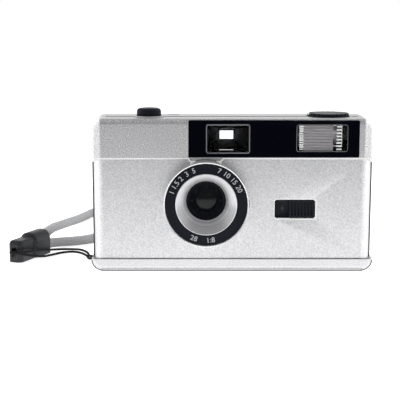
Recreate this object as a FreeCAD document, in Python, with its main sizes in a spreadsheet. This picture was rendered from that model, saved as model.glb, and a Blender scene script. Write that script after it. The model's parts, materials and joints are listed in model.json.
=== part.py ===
"""Compact 35 mm film camera with built-in flash and a wrist strap.

Frame: X to the right seen from the front, Y away from the front, Z up.
The origin is under the middle of the camera, on the surface that it stands on.
Lengths are in millimetres.
"""
import FreeCAD, Part
import math
import os
import re
import Sketcher
from FreeCAD import Placement, Rotation, Vector

doc = FreeCAD.newDocument("film_camera")
sheet = doc.addObject("Spreadsheet::Sheet", "Sizes")
NODES = {}

# Driving dimensions: name, size in mm (or degrees, or a count), what it is
SIZES = [
    ("beyond", 1, "how far a cut reaches past the solid"),
    ("rest_gap", 0.02, "between pieces that rest on each other"),
    ("fit_gap", 0.06, "round a piece that sits in an opening"),
    ("hole_gap", 0.1, "round a piece that passes through a wall"),
    ("loose_gap", 0.15, "round a piece that moves"),
    ("wheel_room", 1.9, "advance wheel to the left side"),
    ("sprocket_room", 1.352, "spool flange to the rim of the sprocket"),
    ("gate_room", 4.15, "sprocket axis to the film gate"),
    ("gate_flange", 2.9, "flange beside the film gate"),
    ("cell_room", 1.3, "gate flange to the battery"),
    ("cell_space", 3.9, "battery to the cartridge chamber"),
    ("end_room", 3.85, "cartridge chamber to the right side"),
    ("head_room", 11.3, "deck to the flat top"),
    ("deck_thick", 0.8, "deck above the film chambers"),
    ("front_wall", 0.45, "thinned front of the cartridge chamber"),
    ("ring_stand", 8, "lens ring in front of the front panel"),
    ("hood_step", 0.8, "hood face in front of the panel face"),
    ("door_step", 1, "door face behind the rear shell face"),
    ("hood_height", 16.1, "height of the top cover's face"),
    ("hood_depth", 12.2, "hood face to the seam on top"),
    ("base_height", 5, "height of the bottom cover"),
    ("seam_gap", 0.12, "gap at every seam between covers"),
    ("shell_wall", 1.2, "wall of hood, rear shell and base"),
    ("panel_wall", 1, "wall of the front panel and rear side walls"),
    ("door_wall", 0.8, "wall of the back door"),
    ("rim_wall", 0.9, "light-trap rim inside the back door"),
    ("rim_depth", 1.6, "light-trap rim inside the back door"),
    ("panel_inset", 1.3, "front panel side inside the hood side"),
    ("side_inset", 0.7, "rear side wall inside the hood side"),
    ("panel_return", 6.7, "how far the front panel wraps back"),
    ("hood_round", 4.5, "top corners seen from the front"),
    ("base_round", 4.4, "bottom corners seen from the front"),
    ("hood_corner", 2.2, "hood corners seen from above"),
    ("tab_half", 6.9, "half width of the tab over the lens ring"),
    ("tab_slant", 0.8, "slant of the tab's ends"),
    ("tab_drop", 1.2, "how far the tab hangs under the hood"),
    ("tab_shift", 0.2, "tab left of the lens axis"),
    ("panel_corner", 2.7, "front panel corners seen from above"),
    ("side_groove", 0.6, "groove between front panel and side walls"),
    ("film_rise", 26, "chamber floor to the middle of the film"),
    ("rim_radius", 17.08, "outside of the lens ring"),
    ("rim_width", 0.68, "bright rim of the lens ring"),
    ("scale_inner", 12.25, "inside of the black scale ring"),
    ("scale_thick", 0.55, "thickness of the scale ring"),
    ("cone_depth", 10.2, "ring front back to the barrel front"),
    ("barrel_radius", 7.97, "outside of the lens barrel"),
    ("stop_radius", 4.45, "opening in front of the first lens"),
    ("glass_radius", 5, "radius of both lens elements"),
    ("glass_gap", 0.06, "clearance round the lens elements"),
    ("iris_radius", 1.75, "fixed aperture"),
    ("shutter_half", 12, "shutter plate beside, above and below the lens axis"),
    ("shutter_hole", 3.2, "hole in the shutter plate"),
    ("blade_radius", 4.2, "disc of the shutter blade"),
    ("stud_radius", 0.8, "pivot of the shutter blade"),
    ("lever_low", 38, "lower edge of the release lever's bar"),
    ("lever_high", 41, "upper edge of the release lever's bar"),
    ("window_left", 17.47, "window panel, left end from the middle"),
    ("window_inset", 6.59, "window panel, right end inside the hood side"),
    ("window_drop", 0.75, "window panel below the flat top"),
    ("window_tall", 14.45, "height of the window panel"),
    ("window_corner", 0.5, "corners of the window panel"),
    ("window_thick", 0.9, "thickness of the window panel"),
    ("finder_left", 10.66, "finder window, left edge from the middle"),
    ("finder_right", 7.11, "finder window, right edge from the middle"),
    ("finder_drop", 1.3, "finder window below the panel's upper edge"),
    ("finder_tall", 11.88, "height of the finder window"),
    ("glass_corner", 1, "corners of the finder and flash windows"),
    ("glass_bevel", 0.5, "bevel round the finder window"),
    ("eye_left", 4.9, "eyepiece opening, left edge from the middle"),
    ("eye_right", 1.37, "eyepiece opening, right edge from the middle"),
    ("eye_drop", 4.82, "eyepiece opening below the finder window's upper edge"),
    ("eye_tall", 4.17, "height of the eyepiece opening"),
    ("eye_rim", 1.1, "eyepiece bezel tube beside the opening"),
    ("eye_sill", 0.7, "eyepiece bezel tube above and below the opening"),
    ("finder_lift", 0.55, "rear end of the finder tunnel above the eyepiece's middle"),
    ("flash_inset", 4.44, "flash window inside the panel's right end"),
    ("flash_wide", 20.58, "width of the flash window"),
    ("flash_drop", 1.46, "flash window below the panel's upper edge"),
    ("flash_tall", 10.94, "height of the flash window"),
    ("flash_ribs", 9, "ribs on the flash window"),
    ("reflector_radius", 4.3, "outside of the flash reflector"),
    ("reflector_wall", 0.4, "sheet of the flash reflector"),
    ("tube_radius", 1.1, "flash tube"),
    ("switch_left", 17.03, "switch recess, left end"),
    ("switch_right", 33.41, "switch recess, right end"),
    ("switch_low", 21.76, "switch recess, lower edge"),
    ("switch_high", 29.08, "switch recess, upper edge"),
    ("switch_depth", 1.3, "depth of the switch recess"),
    ("switch_floor", 0.5, "floor under the switch recess"),
    ("switch_bevel", 0.6, "bevel round the switch recess"),
    ("switch_corner", 0.8, "corners of the switch recess"),
    ("switch_travel", 5.6, "how far the slider goes"),
    ("peg_wide", 2, "peg of the slider"),
    ("peg_tall", 1.7, "peg of the slider"),
    ("peg_inset", 2.5, "peg inside the slider's right end"),
    ("slider_length", 10.4, "flash switch slider"),
    ("slider_gap", 0.12, "clearance round the slider"),
    ("slider_ribs", 7, "grip ribs on the slider"),
    ("button_shift", 1.1, "shutter button axis left of the sprocket axis"),
    ("button_radius", 4.95, "shutter button"),
    ("button_stand", 3.6, "button top above the flat top"),
    ("button_travel", 1.8, "how far the button goes down"),
    ("button_gap", 0.08, "clearance round the shutter button"),
    ("cup_wall", 0.62, "wall of the button collar's cup"),
    ("cup_floor", 0.8, "floor of the button collar's cup"),
    ("stem_radius", 1.7, "stem of the shutter button"),
    ("wire_radius", 0.3, "wire of the button spring"),
    ("coil_radius", 3, "button spring"),
    ("coil_turns", 3, "button spring"),
    ("collar_radius", 6.2, "flange of the button collar"),
    ("knob_radius", 8.55, "rewind knob"),
    ("knob_stand", 1.3, "rewind knob above the flat top"),
    ("knob_thick", 2.6, "rewind knob"),
    ("knob_notches", 24, "grip notches round the rewind knob"),
    ("seat_wall", 0.3, "wall of the dish round the rewind knob"),
    ("shaft_radius", 2.6, "rewind shaft"),
    ("running_gap", 0.06, "radial clearance of turning shafts"),
    ("crank_width", 5, "width of the crank lever"),
    ("crank_thick", 0.8, "thickness of the crank lever"),
    ("crank_inset", 1.6, "crank pivot inside the knob's rim"),
    ("grip_inset", 3.3, "crank grip inside the knob's rim"),
    ("grip_radius", 1.6, "grip under the crank lever"),
    ("cartridge_radius", 12.5, "film cartridge chamber"),
    ("cartridge_gap", 0.05, "cartridge chamber to the back door"),
    ("cartridge_room", 47.2, "height of the cartridge chamber"),
    ("chamber_wall", 1, "walls of the film chambers"),
    ("chamber_floor", 2.4, "floor of the film chambers above the base"),
    ("gate_width", 36, "film gate width"),
    ("gate_height", 24, "film gate height"),
    ("pressure_room", 2.3, "film plane to the inside of the door"),
    ("film_width", 35, "width of the film"),
    ("spool_radius", 4, "take-up spool core"),
    ("flange_stand", 2, "spool flanges beyond the core"),
    ("spool_pin", 2, "ends of the take-up spool"),
    ("takeup_radius", 8.4, "take-up chamber"),
    ("wheel_radius", 9.1, "advance wheel"),
    ("wheel_thick", 4, "advance wheel"),
    ("wheel_gap", 0.4, "advance wheel to its slot"),
    ("wheel_rise", 1, "advance wheel above the deck"),
    ("slot_half", 6.6, "half width of the advance wheel's slot"),
    ("wheel_ribs", 30, "grip ribs on the advance wheel"),
    ("sprocket_teeth", 8, "teeth in each row of the sprocket"),
    ("sprocket_core", 2.6, "barrel between the sprocket's two rows"),
    ("sprocket_pin", 1.5, "shaft of the sprocket"),
    ("perforation", 4.75, "pitch of the film perforations"),
    ("tooth_height", 1, "height of the sprocket teeth"),
    ("counter_shift", 8.6, "frame counter axis right of the sprocket axis"),
    ("counter_view", 3, "counter window behind the counter axis"),
    ("pane_radius", 2.34, "counter window"),
    ("counter_radius", 5.5, "frame counter dial"),
    ("counter_pin", 1, "shaft of the frame counter dial"),
    ("view_half", 5, "half width of the film window"),
    ("view_tall", 9, "half height of the film window"),
    ("thumb_lines", 9, "grooves of the thumb rest"),
    ("hinge_inset", 2, "hinge axis inside the hood side"),
    ("knuckle_radius", 1.1, "hinge knuckles of the door"),
    ("knuckle_length", 8, "hinge knuckles of the door"),
    ("knuckle_pitch", 16, "from one door knuckle to the next"),
    ("knuckle_low", 7, "lowest door knuckle above the base"),
    ("knuckle_gap", 0.3, "hinge knuckles to what surrounds them"),
    ("pin_radius", 0.5, "hinge pin"),
    ("cell_radius", 5.25, "AAA cell"),
    ("cell_length", 44.5, "AAA cell"),
    ("cell_lift", 1.75, "AAA cell above the floor of the base"),
    ("tip_radius", 1.9, "raised contact of the AAA cell"),
    ("latch_low", 26.6, "lower end of the door latch"),
    ("latch_tall", 11.4, "height of the door latch"),
    ("latch_wide", 5.6, "width of the door latch"),
    ("latch_inset", 1.6, "door latch in front of the rear shell's face"),
    ("latch_lip", 1.15, "latch plate beyond its key"),
    ("latch_travel", 3, "how far the latch goes down"),
    ("latch_lines", 6, "grip grooves of the latch"),
    ("lamp_radius", 1.25, "flash ready lamp"),
    ("lamp_shift", 5.5, "flash ready lamp beside the eyepiece"),
    ("boss_radius", 2.2, "bosses for the case screws"),
    ("head_depth", 0.73, "heads of the case screws above the base"),
    ("release_radius", 2, "rewind release button"),
    ("shelf_depth", 2.2, "step round the inside of the bottom cover"),
    ("door_side", 1.15, "battery door beside the battery"),
    ("screw_radius", 0.95, "case screws"),
    ("screw_head", 1.8, "heads of the case screws"),
    ("cross_long", 1.2, "slots in the screw heads, half length"),
    ("cross_wide", 0.22, "slots in the screw heads, half width"),
    ("cross_deep", 0.42, "slots in the screw heads above the base"),
    ("screw_spread", 10.5, "case screws left and right of the lens axis"),
    ("screw_inset", 4.4, "case screws in front of the film plane"),
    ("board_left", 9, "flash board, left edge from the middle"),
    ("board_right", 29.5, "flash board, right edge from the middle"),
    ("board_low", 7.5, "flash board, lower edge"),
    ("board_high", 45.2, "flash board, upper edge"),
    ("post_inset", 2.2, "board posts inside the board's edges"),
    ("post_height", 2.1, "board posts"),
    ("coil_right", 26.4, "coil on the flash board, from the middle"),
    ("coil_low", 33, "lower end of the board's coil"),
    ("coil_high", 41, "upper end of the board's coil"),
    ("coil_half", 2, "radius of the board's coil"),
    ("chip_left", 24, "chip on the flash board, left edge from the middle"),
    ("chip_right", 28.4, "chip on the flash board, right edge from the middle"),
    ("chip_low", 12, "lower edge of the board's chip"),
    ("chip_high", 20, "upper edge of the board's chip"),
    ("can_left", 31, "flash capacitor left of the middle"),
    ("can_radius", 4, "flash capacitor"),
    ("can_low", 6.2, "lower end of the flash capacitor"),
    ("can_high", 26.6, "upper end of the flash capacitor"),
    ("lug_high", 4.3, "upper end of the bar that the strap holds on to"),
    ("lug_radius", 0.45, "bar that the strap holds on to"),
    ("strap_radius", 2.1, "grey wrist cord"),
    ("string_radius", 0.5, "black string"),
    ("slider_wide", 8.5, "cord slider, across"),
    ("slider_tall", 10.6, "cord slider, height"),
    ("slider_long", 12, "cord slider, along the cord"),
    ("tip_wide", 6.6, "strap tip, across"),
    ("tip_tall", 9.2, "strap tip, height"),
    ("tip_long", 10.4, "strap tip, along the cord"),
    ("strap_heading", 68, "degrees from X to the slider's axis"),
]

# Places that follow from the driving dimensions
PLACES = [
    ("sprocket_radius", "sprocket_teeth * perforation / (2 * pi)"),
    ("spool_to_sprocket", "spool_radius + flange_stand + sprocket_radius + sprocket_room"),
    ("sprocket_to_lens", "gate_width / 2 + gate_room"),
    ("lens_to_cell", "gate_width / 2 + gate_flange + cell_radius + cell_room"),
    ("cell_to_knob", "cell_radius + cartridge_radius + chamber_wall + cell_space"),
    ("left_end", "wheel_radius + wheel_room"),
    ("right_end", "cartridge_radius + chamber_wall + end_room"),
    ("body_width",
     "left_end + spool_to_sprocket + sprocket_to_lens + lens_to_cell + cell_to_knob + right_end"),
    ("side", "body_width / 2"),
    ("spool_left", "side - left_end"),
    ("sprocket_left", "spool_left - spool_to_sprocket"),
    ("lens_left", "sprocket_left - sprocket_to_lens"),
    ("lens_x", "-lens_left"),
    ("cell_right", "lens_x + lens_to_cell"),
    ("knob_right", "cell_right + cell_to_knob"),
    ("button_left", "sprocket_left + button_shift"),
    ("counter_left", "sprocket_left - counter_shift"),
    ("chamber_top", "chamber_floor + cartridge_room"),
    ("deck", "chamber_top + deck_thick"),
    ("body_height", "deck + head_room"),
    ("lens_up", "chamber_floor + film_rise"),
    ("case_depth", "panel_wall + hole_gap + front_wall + 2 * cartridge_radius + cartridge_gap + door_wall"),
    ("ring_front", "-(ring_stand + case_depth) / 2"),
    ("panel_front", "ring_front + ring_stand"),
    ("hood_front", "panel_front - hood_step"),
    ("door_back", "panel_front + case_depth"),
    ("rear_face", "door_back - door_step"),
    ("door_inner", "door_back - door_wall"),
    ("film_plane", "door_inner - pressure_room"),
    ("panel_inner", "panel_front + panel_wall"),
    ("hood_inner", "hood_front + shell_wall"),
    ("panel_end", "panel_front + panel_return"),
    ("hood_low", "body_height - hood_height"),
    ("hood_ceiling", "body_height - shell_wall"),
    ("top_seam", "hood_front + hood_depth"),
    ("panel_side", "side - panel_inset"),
    ("rear_side", "side - side_inset"),
    ("cell_side", "rear_side - panel_wall - loose_gap"),
    ("cartridge_y", "door_inner - cartridge_radius - cartridge_gap"),
    ("sprocket_y", "film_plane - sprocket_radius"),
    ("spool_y", "door_back - wheel_radius"),
    ("button_y", "top_seam - 0.2"),
    ("button_top", "body_height + button_stand"),
    ("cup_radius", "button_radius + button_gap + cup_wall"),
    ("cup_low", "body_height - 4.3 - button_travel"),
    ("window_high", "body_height - window_drop"),
    ("window_low", "window_high - window_tall"),
    ("window_right", "side - window_inset"),
    ("window_face", "hood_front + hole_gap"),
    ("window_back", "window_face + window_thick"),
    ("finder_high", "window_high - finder_drop"),
    ("finder_low", "finder_high - finder_tall"),
    ("eye_high", "finder_high - eye_drop"),
    ("eye_low", "eye_high - eye_tall"),
    ("eye_middle", "(eye_high + eye_low) / 2"),
    ("flash_right", "window_right - flash_inset"),
    ("flash_left", "flash_right - flash_wide"),
    ("flash_high", "window_high - flash_drop"),
    ("flash_low", "flash_high - flash_tall"),
    ("flash_up", "flash_high - 0.3 - reflector_radius"),
    ("scale_back", "ring_front + 0.2 + scale_thick"),
    ("barrel_front", "ring_front + cone_depth"),
    ("glass_front", "barrel_front + 1.2"),
    ("shutter_y", "barrel_front + 6.5"),
    ("plate_back", "shutter_y + 0.8"),
    ("box_front", "plate_back + 1.3"),
    ("pivot_x", "lens_x - 12"),
    ("hinge_x", "-(side - hinge_inset)"),
    ("hinge_y", "door_back - knuckle_gap - knuckle_radius"),
    ("door_low", "1.6"),
    ("door_top", "chamber_top"),
    ("knob_top", "body_height + knob_stand"),
    ("knob_low", "knob_top - knob_thick"),
    ("seat_radius", "knob_radius + loose_gap + seat_wall"),
    ("cell_y", "panel_inner + 3.65 + cell_radius"),
    ("wheel_low", "deck + wheel_rise"),
    ("latch_front", "rear_face - latch_inset - latch_wide"),
    ("latch_high", "latch_low + latch_tall"),
    ("lug_x", "-(side - 0.6)"),
    ("screw_y", "film_plane - screw_inset"),
    ("screw_top", "chamber_floor + 4.2"),
]
ALIASES = {row[0] for row in SIZES} | {row[0] for row in PLACES}


def fill_sheet():
    """Write the driving dimensions as numbers and the places as formulas."""
    row = 1
    for alias, size, note in SIZES:
        sheet.set(f"A{row}", str(size))
        sheet.setAlias(f"A{row}", alias)
        sheet.set(f"B{row}", note)
        row += 1
    for alias, formula in PLACES:
        sheet.set(f"A{row}", "=" + formula)
        sheet.setAlias(f"A{row}", alias)
        row += 1
    doc.recompute()


def bound(formula):
    """Turn a formula of size names into one that other objects can use."""
    names = r"[a-z]+(?:_[a-z]+)*"
    return re.sub(names, lambda word: "Sizes." + word[0] if word[0] in ALIASES else word[0], str(formula))


def value(formula):
    """The number that a formula of size names gives."""
    return float(sheet.evalExpression(bound(formula)))


def node(made, label):
    """Name a finished sub-part; its label is the name of its file."""
    made.Label = label
    NODES[label] = made
    return made


# Solids from primitives and booleans

TURN = {"x": Rotation(Vector(0, 1, 0), 90), "y": Rotation(Vector(1, 0, 0), -90), "z": Rotation()}


def move_to(made, x, y, z):
    for axis, formula in (("x", x), ("y", y), ("z", z)):
        made.setExpression("Placement.Base." + axis, bound(formula))


def block(name, x, y, z):
    """Box between a low and a high place along each axis."""
    made = doc.addObject("Part::Box", name)
    for size, (low, high) in (("Length", x), ("Width", y), ("Height", z)):
        made.setExpression(size, bound(f"({high}) - ({low})"))
    move_to(made, x[0], y[0], z[0])
    return made


def rod(name, axis, centre, span, radius):
    """Cylinder along an axis; centre gives the two other places in X, Y, Z order."""
    made = doc.addObject("Part::Cylinder", name)
    made.Placement = Placement(Vector(), TURN[axis])
    made.setExpression("Radius", bound(radius))
    made.setExpression("Height", bound(f"({span[1]}) - ({span[0]})"))
    place = list(centre)
    place.insert("xyz".index(axis), span[0])
    move_to(made, *place)
    return made


def ball(name, centre, radius):
    made = doc.addObject("Part::Sphere", name)
    made.setExpression("Radius", bound(radius))
    move_to(made, *centre)
    return made


def frustum(name, centre, span, front, back):
    """Four-sided taper along Y; front and back give the half sizes in X and Z."""
    made = doc.addObject("Part::Wedge", name)
    made.setExpression("Ymin", "0")
    made.setExpression("Ymax", bound(f"({span[1]}) - ({span[0]})"))
    for prefix, (half_x, half_z) in (("", front), ("2", back)):
        for axis, half in (("X", half_x), ("Z", half_z)):
            made.setExpression(f"{axis}{prefix}min", bound(f"-({half})"))
            made.setExpression(f"{axis}{prefix}max", bound(half))
    move_to(made, centre[0], span[0], centre[1])
    return made


def fuse(name, *pieces):
    made = doc.addObject("Part::MultiFuse", name)
    made.Shapes = list(pieces)
    return made


def cut(name, base, *tools):
    made = doc.addObject("Part::Cut", name)
    made.Base = base
    made.Tool = tools[0] if len(tools) == 1 else fuse(name + "_tools", *tools)
    return made


def common(name, first, second):
    made = doc.addObject("Part::Common", name)
    made.Base = first
    made.Tool = second
    return made


# Bodies with sketches and features

def body(label, x="0", y="0", z="0"):
    made = doc.addObject("PartDesign::Body", label)
    move_to(made, x, y, z)
    return node(made, label)


def origin_part(owner, role):
    return next(part for part in owner.Origin.OriginFeatures if part.Role == role)


def sketch_on(owner, name, plane, offset):
    made = owner.newObject("Sketcher::SketchObject", name)
    made.AttachmentSupport = (origin_part(owner, plane + "_Plane"), [""])
    made.MapMode = "FlatFace"
    made.setExpression("AttachmentOffset.Base.z", bound(offset))
    return made


def pin_point(sketch, edge, end, name, place):
    """Tie one point of a sketch to its two named places."""
    for kind, axis, formula in (("DistanceX", "across", place[0]), ("DistanceY", "up", place[1])):
        number = sketch.addConstraint(Sketcher.Constraint(kind, -1, 1, edge, end, value(formula)))
        sketch.renameConstraint(number, f"{name}_{axis}")
        sketch.setExpression(f"Constraints.{name}_{axis}", bound(formula))


def draw_outline(sketch, points):
    """Closed outline of straight edges through named places."""
    first = sketch.GeometryCount
    corners = [Vector(value(x), value(y), 0) for x, y in points]
    for start, end in zip(corners, corners[1:] + corners[:1]):
        sketch.addGeometry(Part.LineSegment(start, end), False)
    for number, place in enumerate(points):
        edge = first + number
        after = first + (number + 1) % len(points)
        sketch.addConstraint(Sketcher.Constraint("Coincident", edge, 2, after, 1))
        pin_point(sketch, edge, 1, f"corner_{edge}", place)


def draw_box(sketch, across, up):
    draw_outline(sketch, [(across[0], up[0]), (across[1], up[0]), (across[1], up[1]), (across[0], up[1])])


def draw_circle(sketch, centre, radius):
    number = sketch.GeometryCount
    middle = Vector(value(centre[0]), value(centre[1]), 0)
    sketch.addGeometry(Part.Circle(middle, Vector(0, 0, 1), value(radius)), False)
    pin_point(sketch, number, 3, f"centre_{number}", centre)
    size = sketch.addConstraint(Sketcher.Constraint("Radius", number, value(radius)))
    sketch.renameConstraint(size, f"radius_{number}")
    sketch.setExpression(f"Constraints.radius_{number}", bound(radius))


def check_growth(owner, before, sign, name):
    doc.recompute()
    if sign * (owner.Shape.Volume - before) <= 0:
        raise RuntimeError(name + " changed nothing")


def add(owner, name, plane, span, draw):
    """Pad between two places along the plane's axis; draw fills the sketch."""
    before = owner.Shape.Volume if owner.Tip else 0
    offset = f"-({span[1]})" if plane == "XZ" else span[0]
    sketch = sketch_on(owner, name + "_sketch", plane, offset)
    draw(sketch)
    pad = owner.newObject("PartDesign::Pad", name)
    pad.Profile = sketch
    pad.setExpression("Length", bound(f"({span[1]}) - ({span[0]})"))
    check_growth(owner, before, 1, name)
    return pad


def remove(owner, name, plane, span, draw):
    """Pocket between two places along the plane's axis; draw fills the sketch."""
    before = owner.Shape.Volume
    offset = f"-({span[0]})" if plane == "XZ" else span[1]
    sketch = sketch_on(owner, name + "_sketch", plane, offset)
    draw(sketch)
    pocket = owner.newObject("PartDesign::Pocket", name)
    pocket.Profile = sketch
    pocket.setExpression("Length", bound(f"({span[1]}) - ({span[0]})"))
    check_growth(owner, before, -1, name)
    return pocket


def revolve(owner, name, plane, points):
    """Solid of revolution about the body's own axis: points are (radius, height)."""
    sketch = sketch_on(owner, name + "_sketch", plane, "0")
    draw_outline(sketch, points)
    made = owner.newObject("PartDesign::Revolution", name)
    made.Profile = sketch
    made.ReferenceAxis = (sketch, ["V_Axis"])
    made.Angle = 360
    doc.recompute()
    return made


def straight_edges(owner, along, *places):
    """Names of the straight edges along an axis whose middles lie at given places."""
    names = []
    shape = owner.Tip.Shape
    for number, edge in enumerate(shape.Edges, 1):
        ends = edge.Vertexes
        if len(ends) != 2 or edge.Curve.TypeId != "Part::GeomLine":
            continue
        way = ends[1].Point - ends[0].Point
        middle = (ends[1].Point + ends[0].Point) * 0.5
        if abs(getattr(way, along)) < 0.999 * way.Length:
            continue
        for place in places:
            if all(abs(getattr(middle, axis) - value(formula)) < 0.02 for axis, formula in place.items()):
                names.append(f"Edge{number}")
    return names


def dress(owner, kind, name, size, along, *places):
    """Fillet or chamfer the straight edges at the given places."""
    names = straight_edges(owner, along, *places)
    if not names:
        raise RuntimeError(name + " found no edge")
    base = owner.Tip
    made = owner.newObject("PartDesign::" + kind, name)
    made.Base = (base, names)
    made.setExpression("Radius" if kind == "Fillet" else "Size", bound(size))
    doc.recompute()
    return made


def repeat(owner, kind, name, feature, axis, **settings):
    """Pattern of one feature about or along an axis of the body."""
    made = owner.newObject("PartDesign::" + kind, name)
    made.Originals = [feature]
    way = (origin_part(owner, axis + "_Axis"), [""])
    if kind == "PolarPattern":
        made.Axis = way
        made.Angle = 360
    else:
        made.Direction = way
        made.setExpression("Length", bound(settings["length"]))
    made.setExpression("Occurrences", bound(settings["count"]))
    owner.Tip = made
    doc.recompute()
    return made


# Covers

def on_both(formula):
    """The same place on the left and on the right."""
    return (f"-({formula})", f"({formula})")


def corner_places(across, up):
    """The four corners of a box seen from the front, for straight edges along Y."""
    return [{"x": x, "z": z} for x in across for z in up]


def make_top_cover():
    """Silver hood: an arch seen from the front, open at the back and below."""
    owner = body("top_cover")
    across = on_both("side")
    add(owner, "hood", "XZ", ("hood_front", "top_seam"),
        lambda s: draw_box(s, across, ("hood_low", "body_height")))
    tops = [{"x": x, "z": "body_height"} for x in across]
    dress(owner, "Fillet", "hood_shoulders", "hood_round", "y", *tops)
    fronts = [{"x": x, "y": "hood_front"} for x in across]
    dress(owner, "Fillet", "hood_corners", "hood_corner", "z", *fronts)
    inner = on_both("side - shell_wall")
    remove(owner, "hood_inside", "XZ", ("hood_inner", "top_seam + beyond"),
           lambda s: draw_arch(s, inner, ("hood_low - beyond", "hood_ceiling"), "hood_round - shell_wall"))
    window = ("-window_left - slider_gap", "window_right + slider_gap")
    remove(owner, "window_opening", "XZ", ("hood_front - beyond", "hood_inner + beyond"),
           lambda s: draw_box(s, window, ("window_low - slider_gap", "window_high + slider_gap")))
    dress(owner, "Fillet", "opening_corners", "window_corner", "y",
          *corner_places(window, ("window_low - slider_gap", "window_high + slider_gap")))
    middle, tab_end = "lens_x - tab_shift", "tab_half - tab_slant"
    tab = [(f"{middle} - tab_half", "hood_low + seam_gap"),
           (f"{middle} - ({tab_end})", "hood_low - tab_drop"),
           (f"{middle} + {tab_end}", "hood_low - tab_drop"),
           (f"{middle} + tab_half", "hood_low + seam_gap")]
    add(owner, "ring_tab", "XZ", ("hood_front", "panel_front - rest_gap"), lambda s: draw_outline(s, tab))
    remove(owner, "ring_room", "XZ", ("hood_front - beyond", "panel_front"),
           lambda s: draw_circle(s, ("lens_x", "lens_up"), "rim_radius + slider_gap"))
    remove(owner, "button_hole", "XY", ("hood_ceiling - beyond", "body_height + beyond"),
           lambda s: draw_circle(s, ("-button_left", "button_y"), "cup_radius + hole_gap"))
    remove(owner, "rewind_hole", "XY", ("hood_ceiling - beyond", "body_height + beyond"),
           lambda s: draw_circle(s, ("knob_right", "cartridge_y"), "seat_radius + hole_gap"))


def draw_arch(sketch, across, up, radius):
    """Box outline whose two upper corners are round."""
    left, right = across
    low, high = up
    first = sketch.GeometryCount
    x_left, x_right = value(left), value(right)
    y_low, y_high, bend = value(low), value(high), value(radius)
    sketch.addGeometry(Part.LineSegment(Vector(x_left, y_low, 0), Vector(x_right, y_low, 0)), False)
    sketch.addGeometry(Part.LineSegment(Vector(x_right, y_low, 0), Vector(x_right, y_high - bend, 0)),
                       False)
    circle = Part.Circle(Vector(x_right - bend, y_high - bend, 0), Vector(0, 0, 1), bend)
    sketch.addGeometry(Part.ArcOfCircle(circle, 0, math.pi / 2), False)
    sketch.addGeometry(Part.LineSegment(Vector(x_right - bend, y_high, 0),
                                        Vector(x_left + bend, y_high, 0)), False)
    circle = Part.Circle(Vector(x_left + bend, y_high - bend, 0), Vector(0, 0, 1), bend)
    sketch.addGeometry(Part.ArcOfCircle(circle, math.pi / 2, math.pi), False)
    sketch.addGeometry(Part.LineSegment(Vector(x_left, y_high - bend, 0), Vector(x_left, y_low, 0)), False)
    base, right_side, right_arc, top, left_arc, left_side = range(first, first + 6)
    sketch.addConstraint(Sketcher.Constraint("Coincident", base, 2, right_side, 1))
    sketch.addConstraint(Sketcher.Constraint("Coincident", left_side, 2, base, 1))
    for edge, end, arc, tip in ((right_side, 2, right_arc, 1), (top, 1, right_arc, 2),
                                (top, 2, left_arc, 1), (left_side, 1, left_arc, 2)):
        sketch.addConstraint(Sketcher.Constraint("Tangent", edge, end, arc, tip))
    pin_point(sketch, base, 1, "low_left", (left, low))
    pin_point(sketch, base, 2, "low_right", (right, low))
    sketch.addConstraint(Sketcher.Constraint("Vertical", right_side))
    sketch.addConstraint(Sketcher.Constraint("Vertical", left_side))
    for arc, name in ((right_arc, "bend_right"), (left_arc, "bend_left")):
        number = sketch.addConstraint(Sketcher.Constraint("Radius", arc, bend))
        sketch.renameConstraint(number, name)
        sketch.setExpression("Constraints." + name, bound(radius))
    number = sketch.addConstraint(Sketcher.Constraint("DistanceY", -1, 1, top, 1, y_high))
    sketch.renameConstraint(number, "crown")
    sketch.setExpression("Constraints.crown", bound(high))


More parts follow.
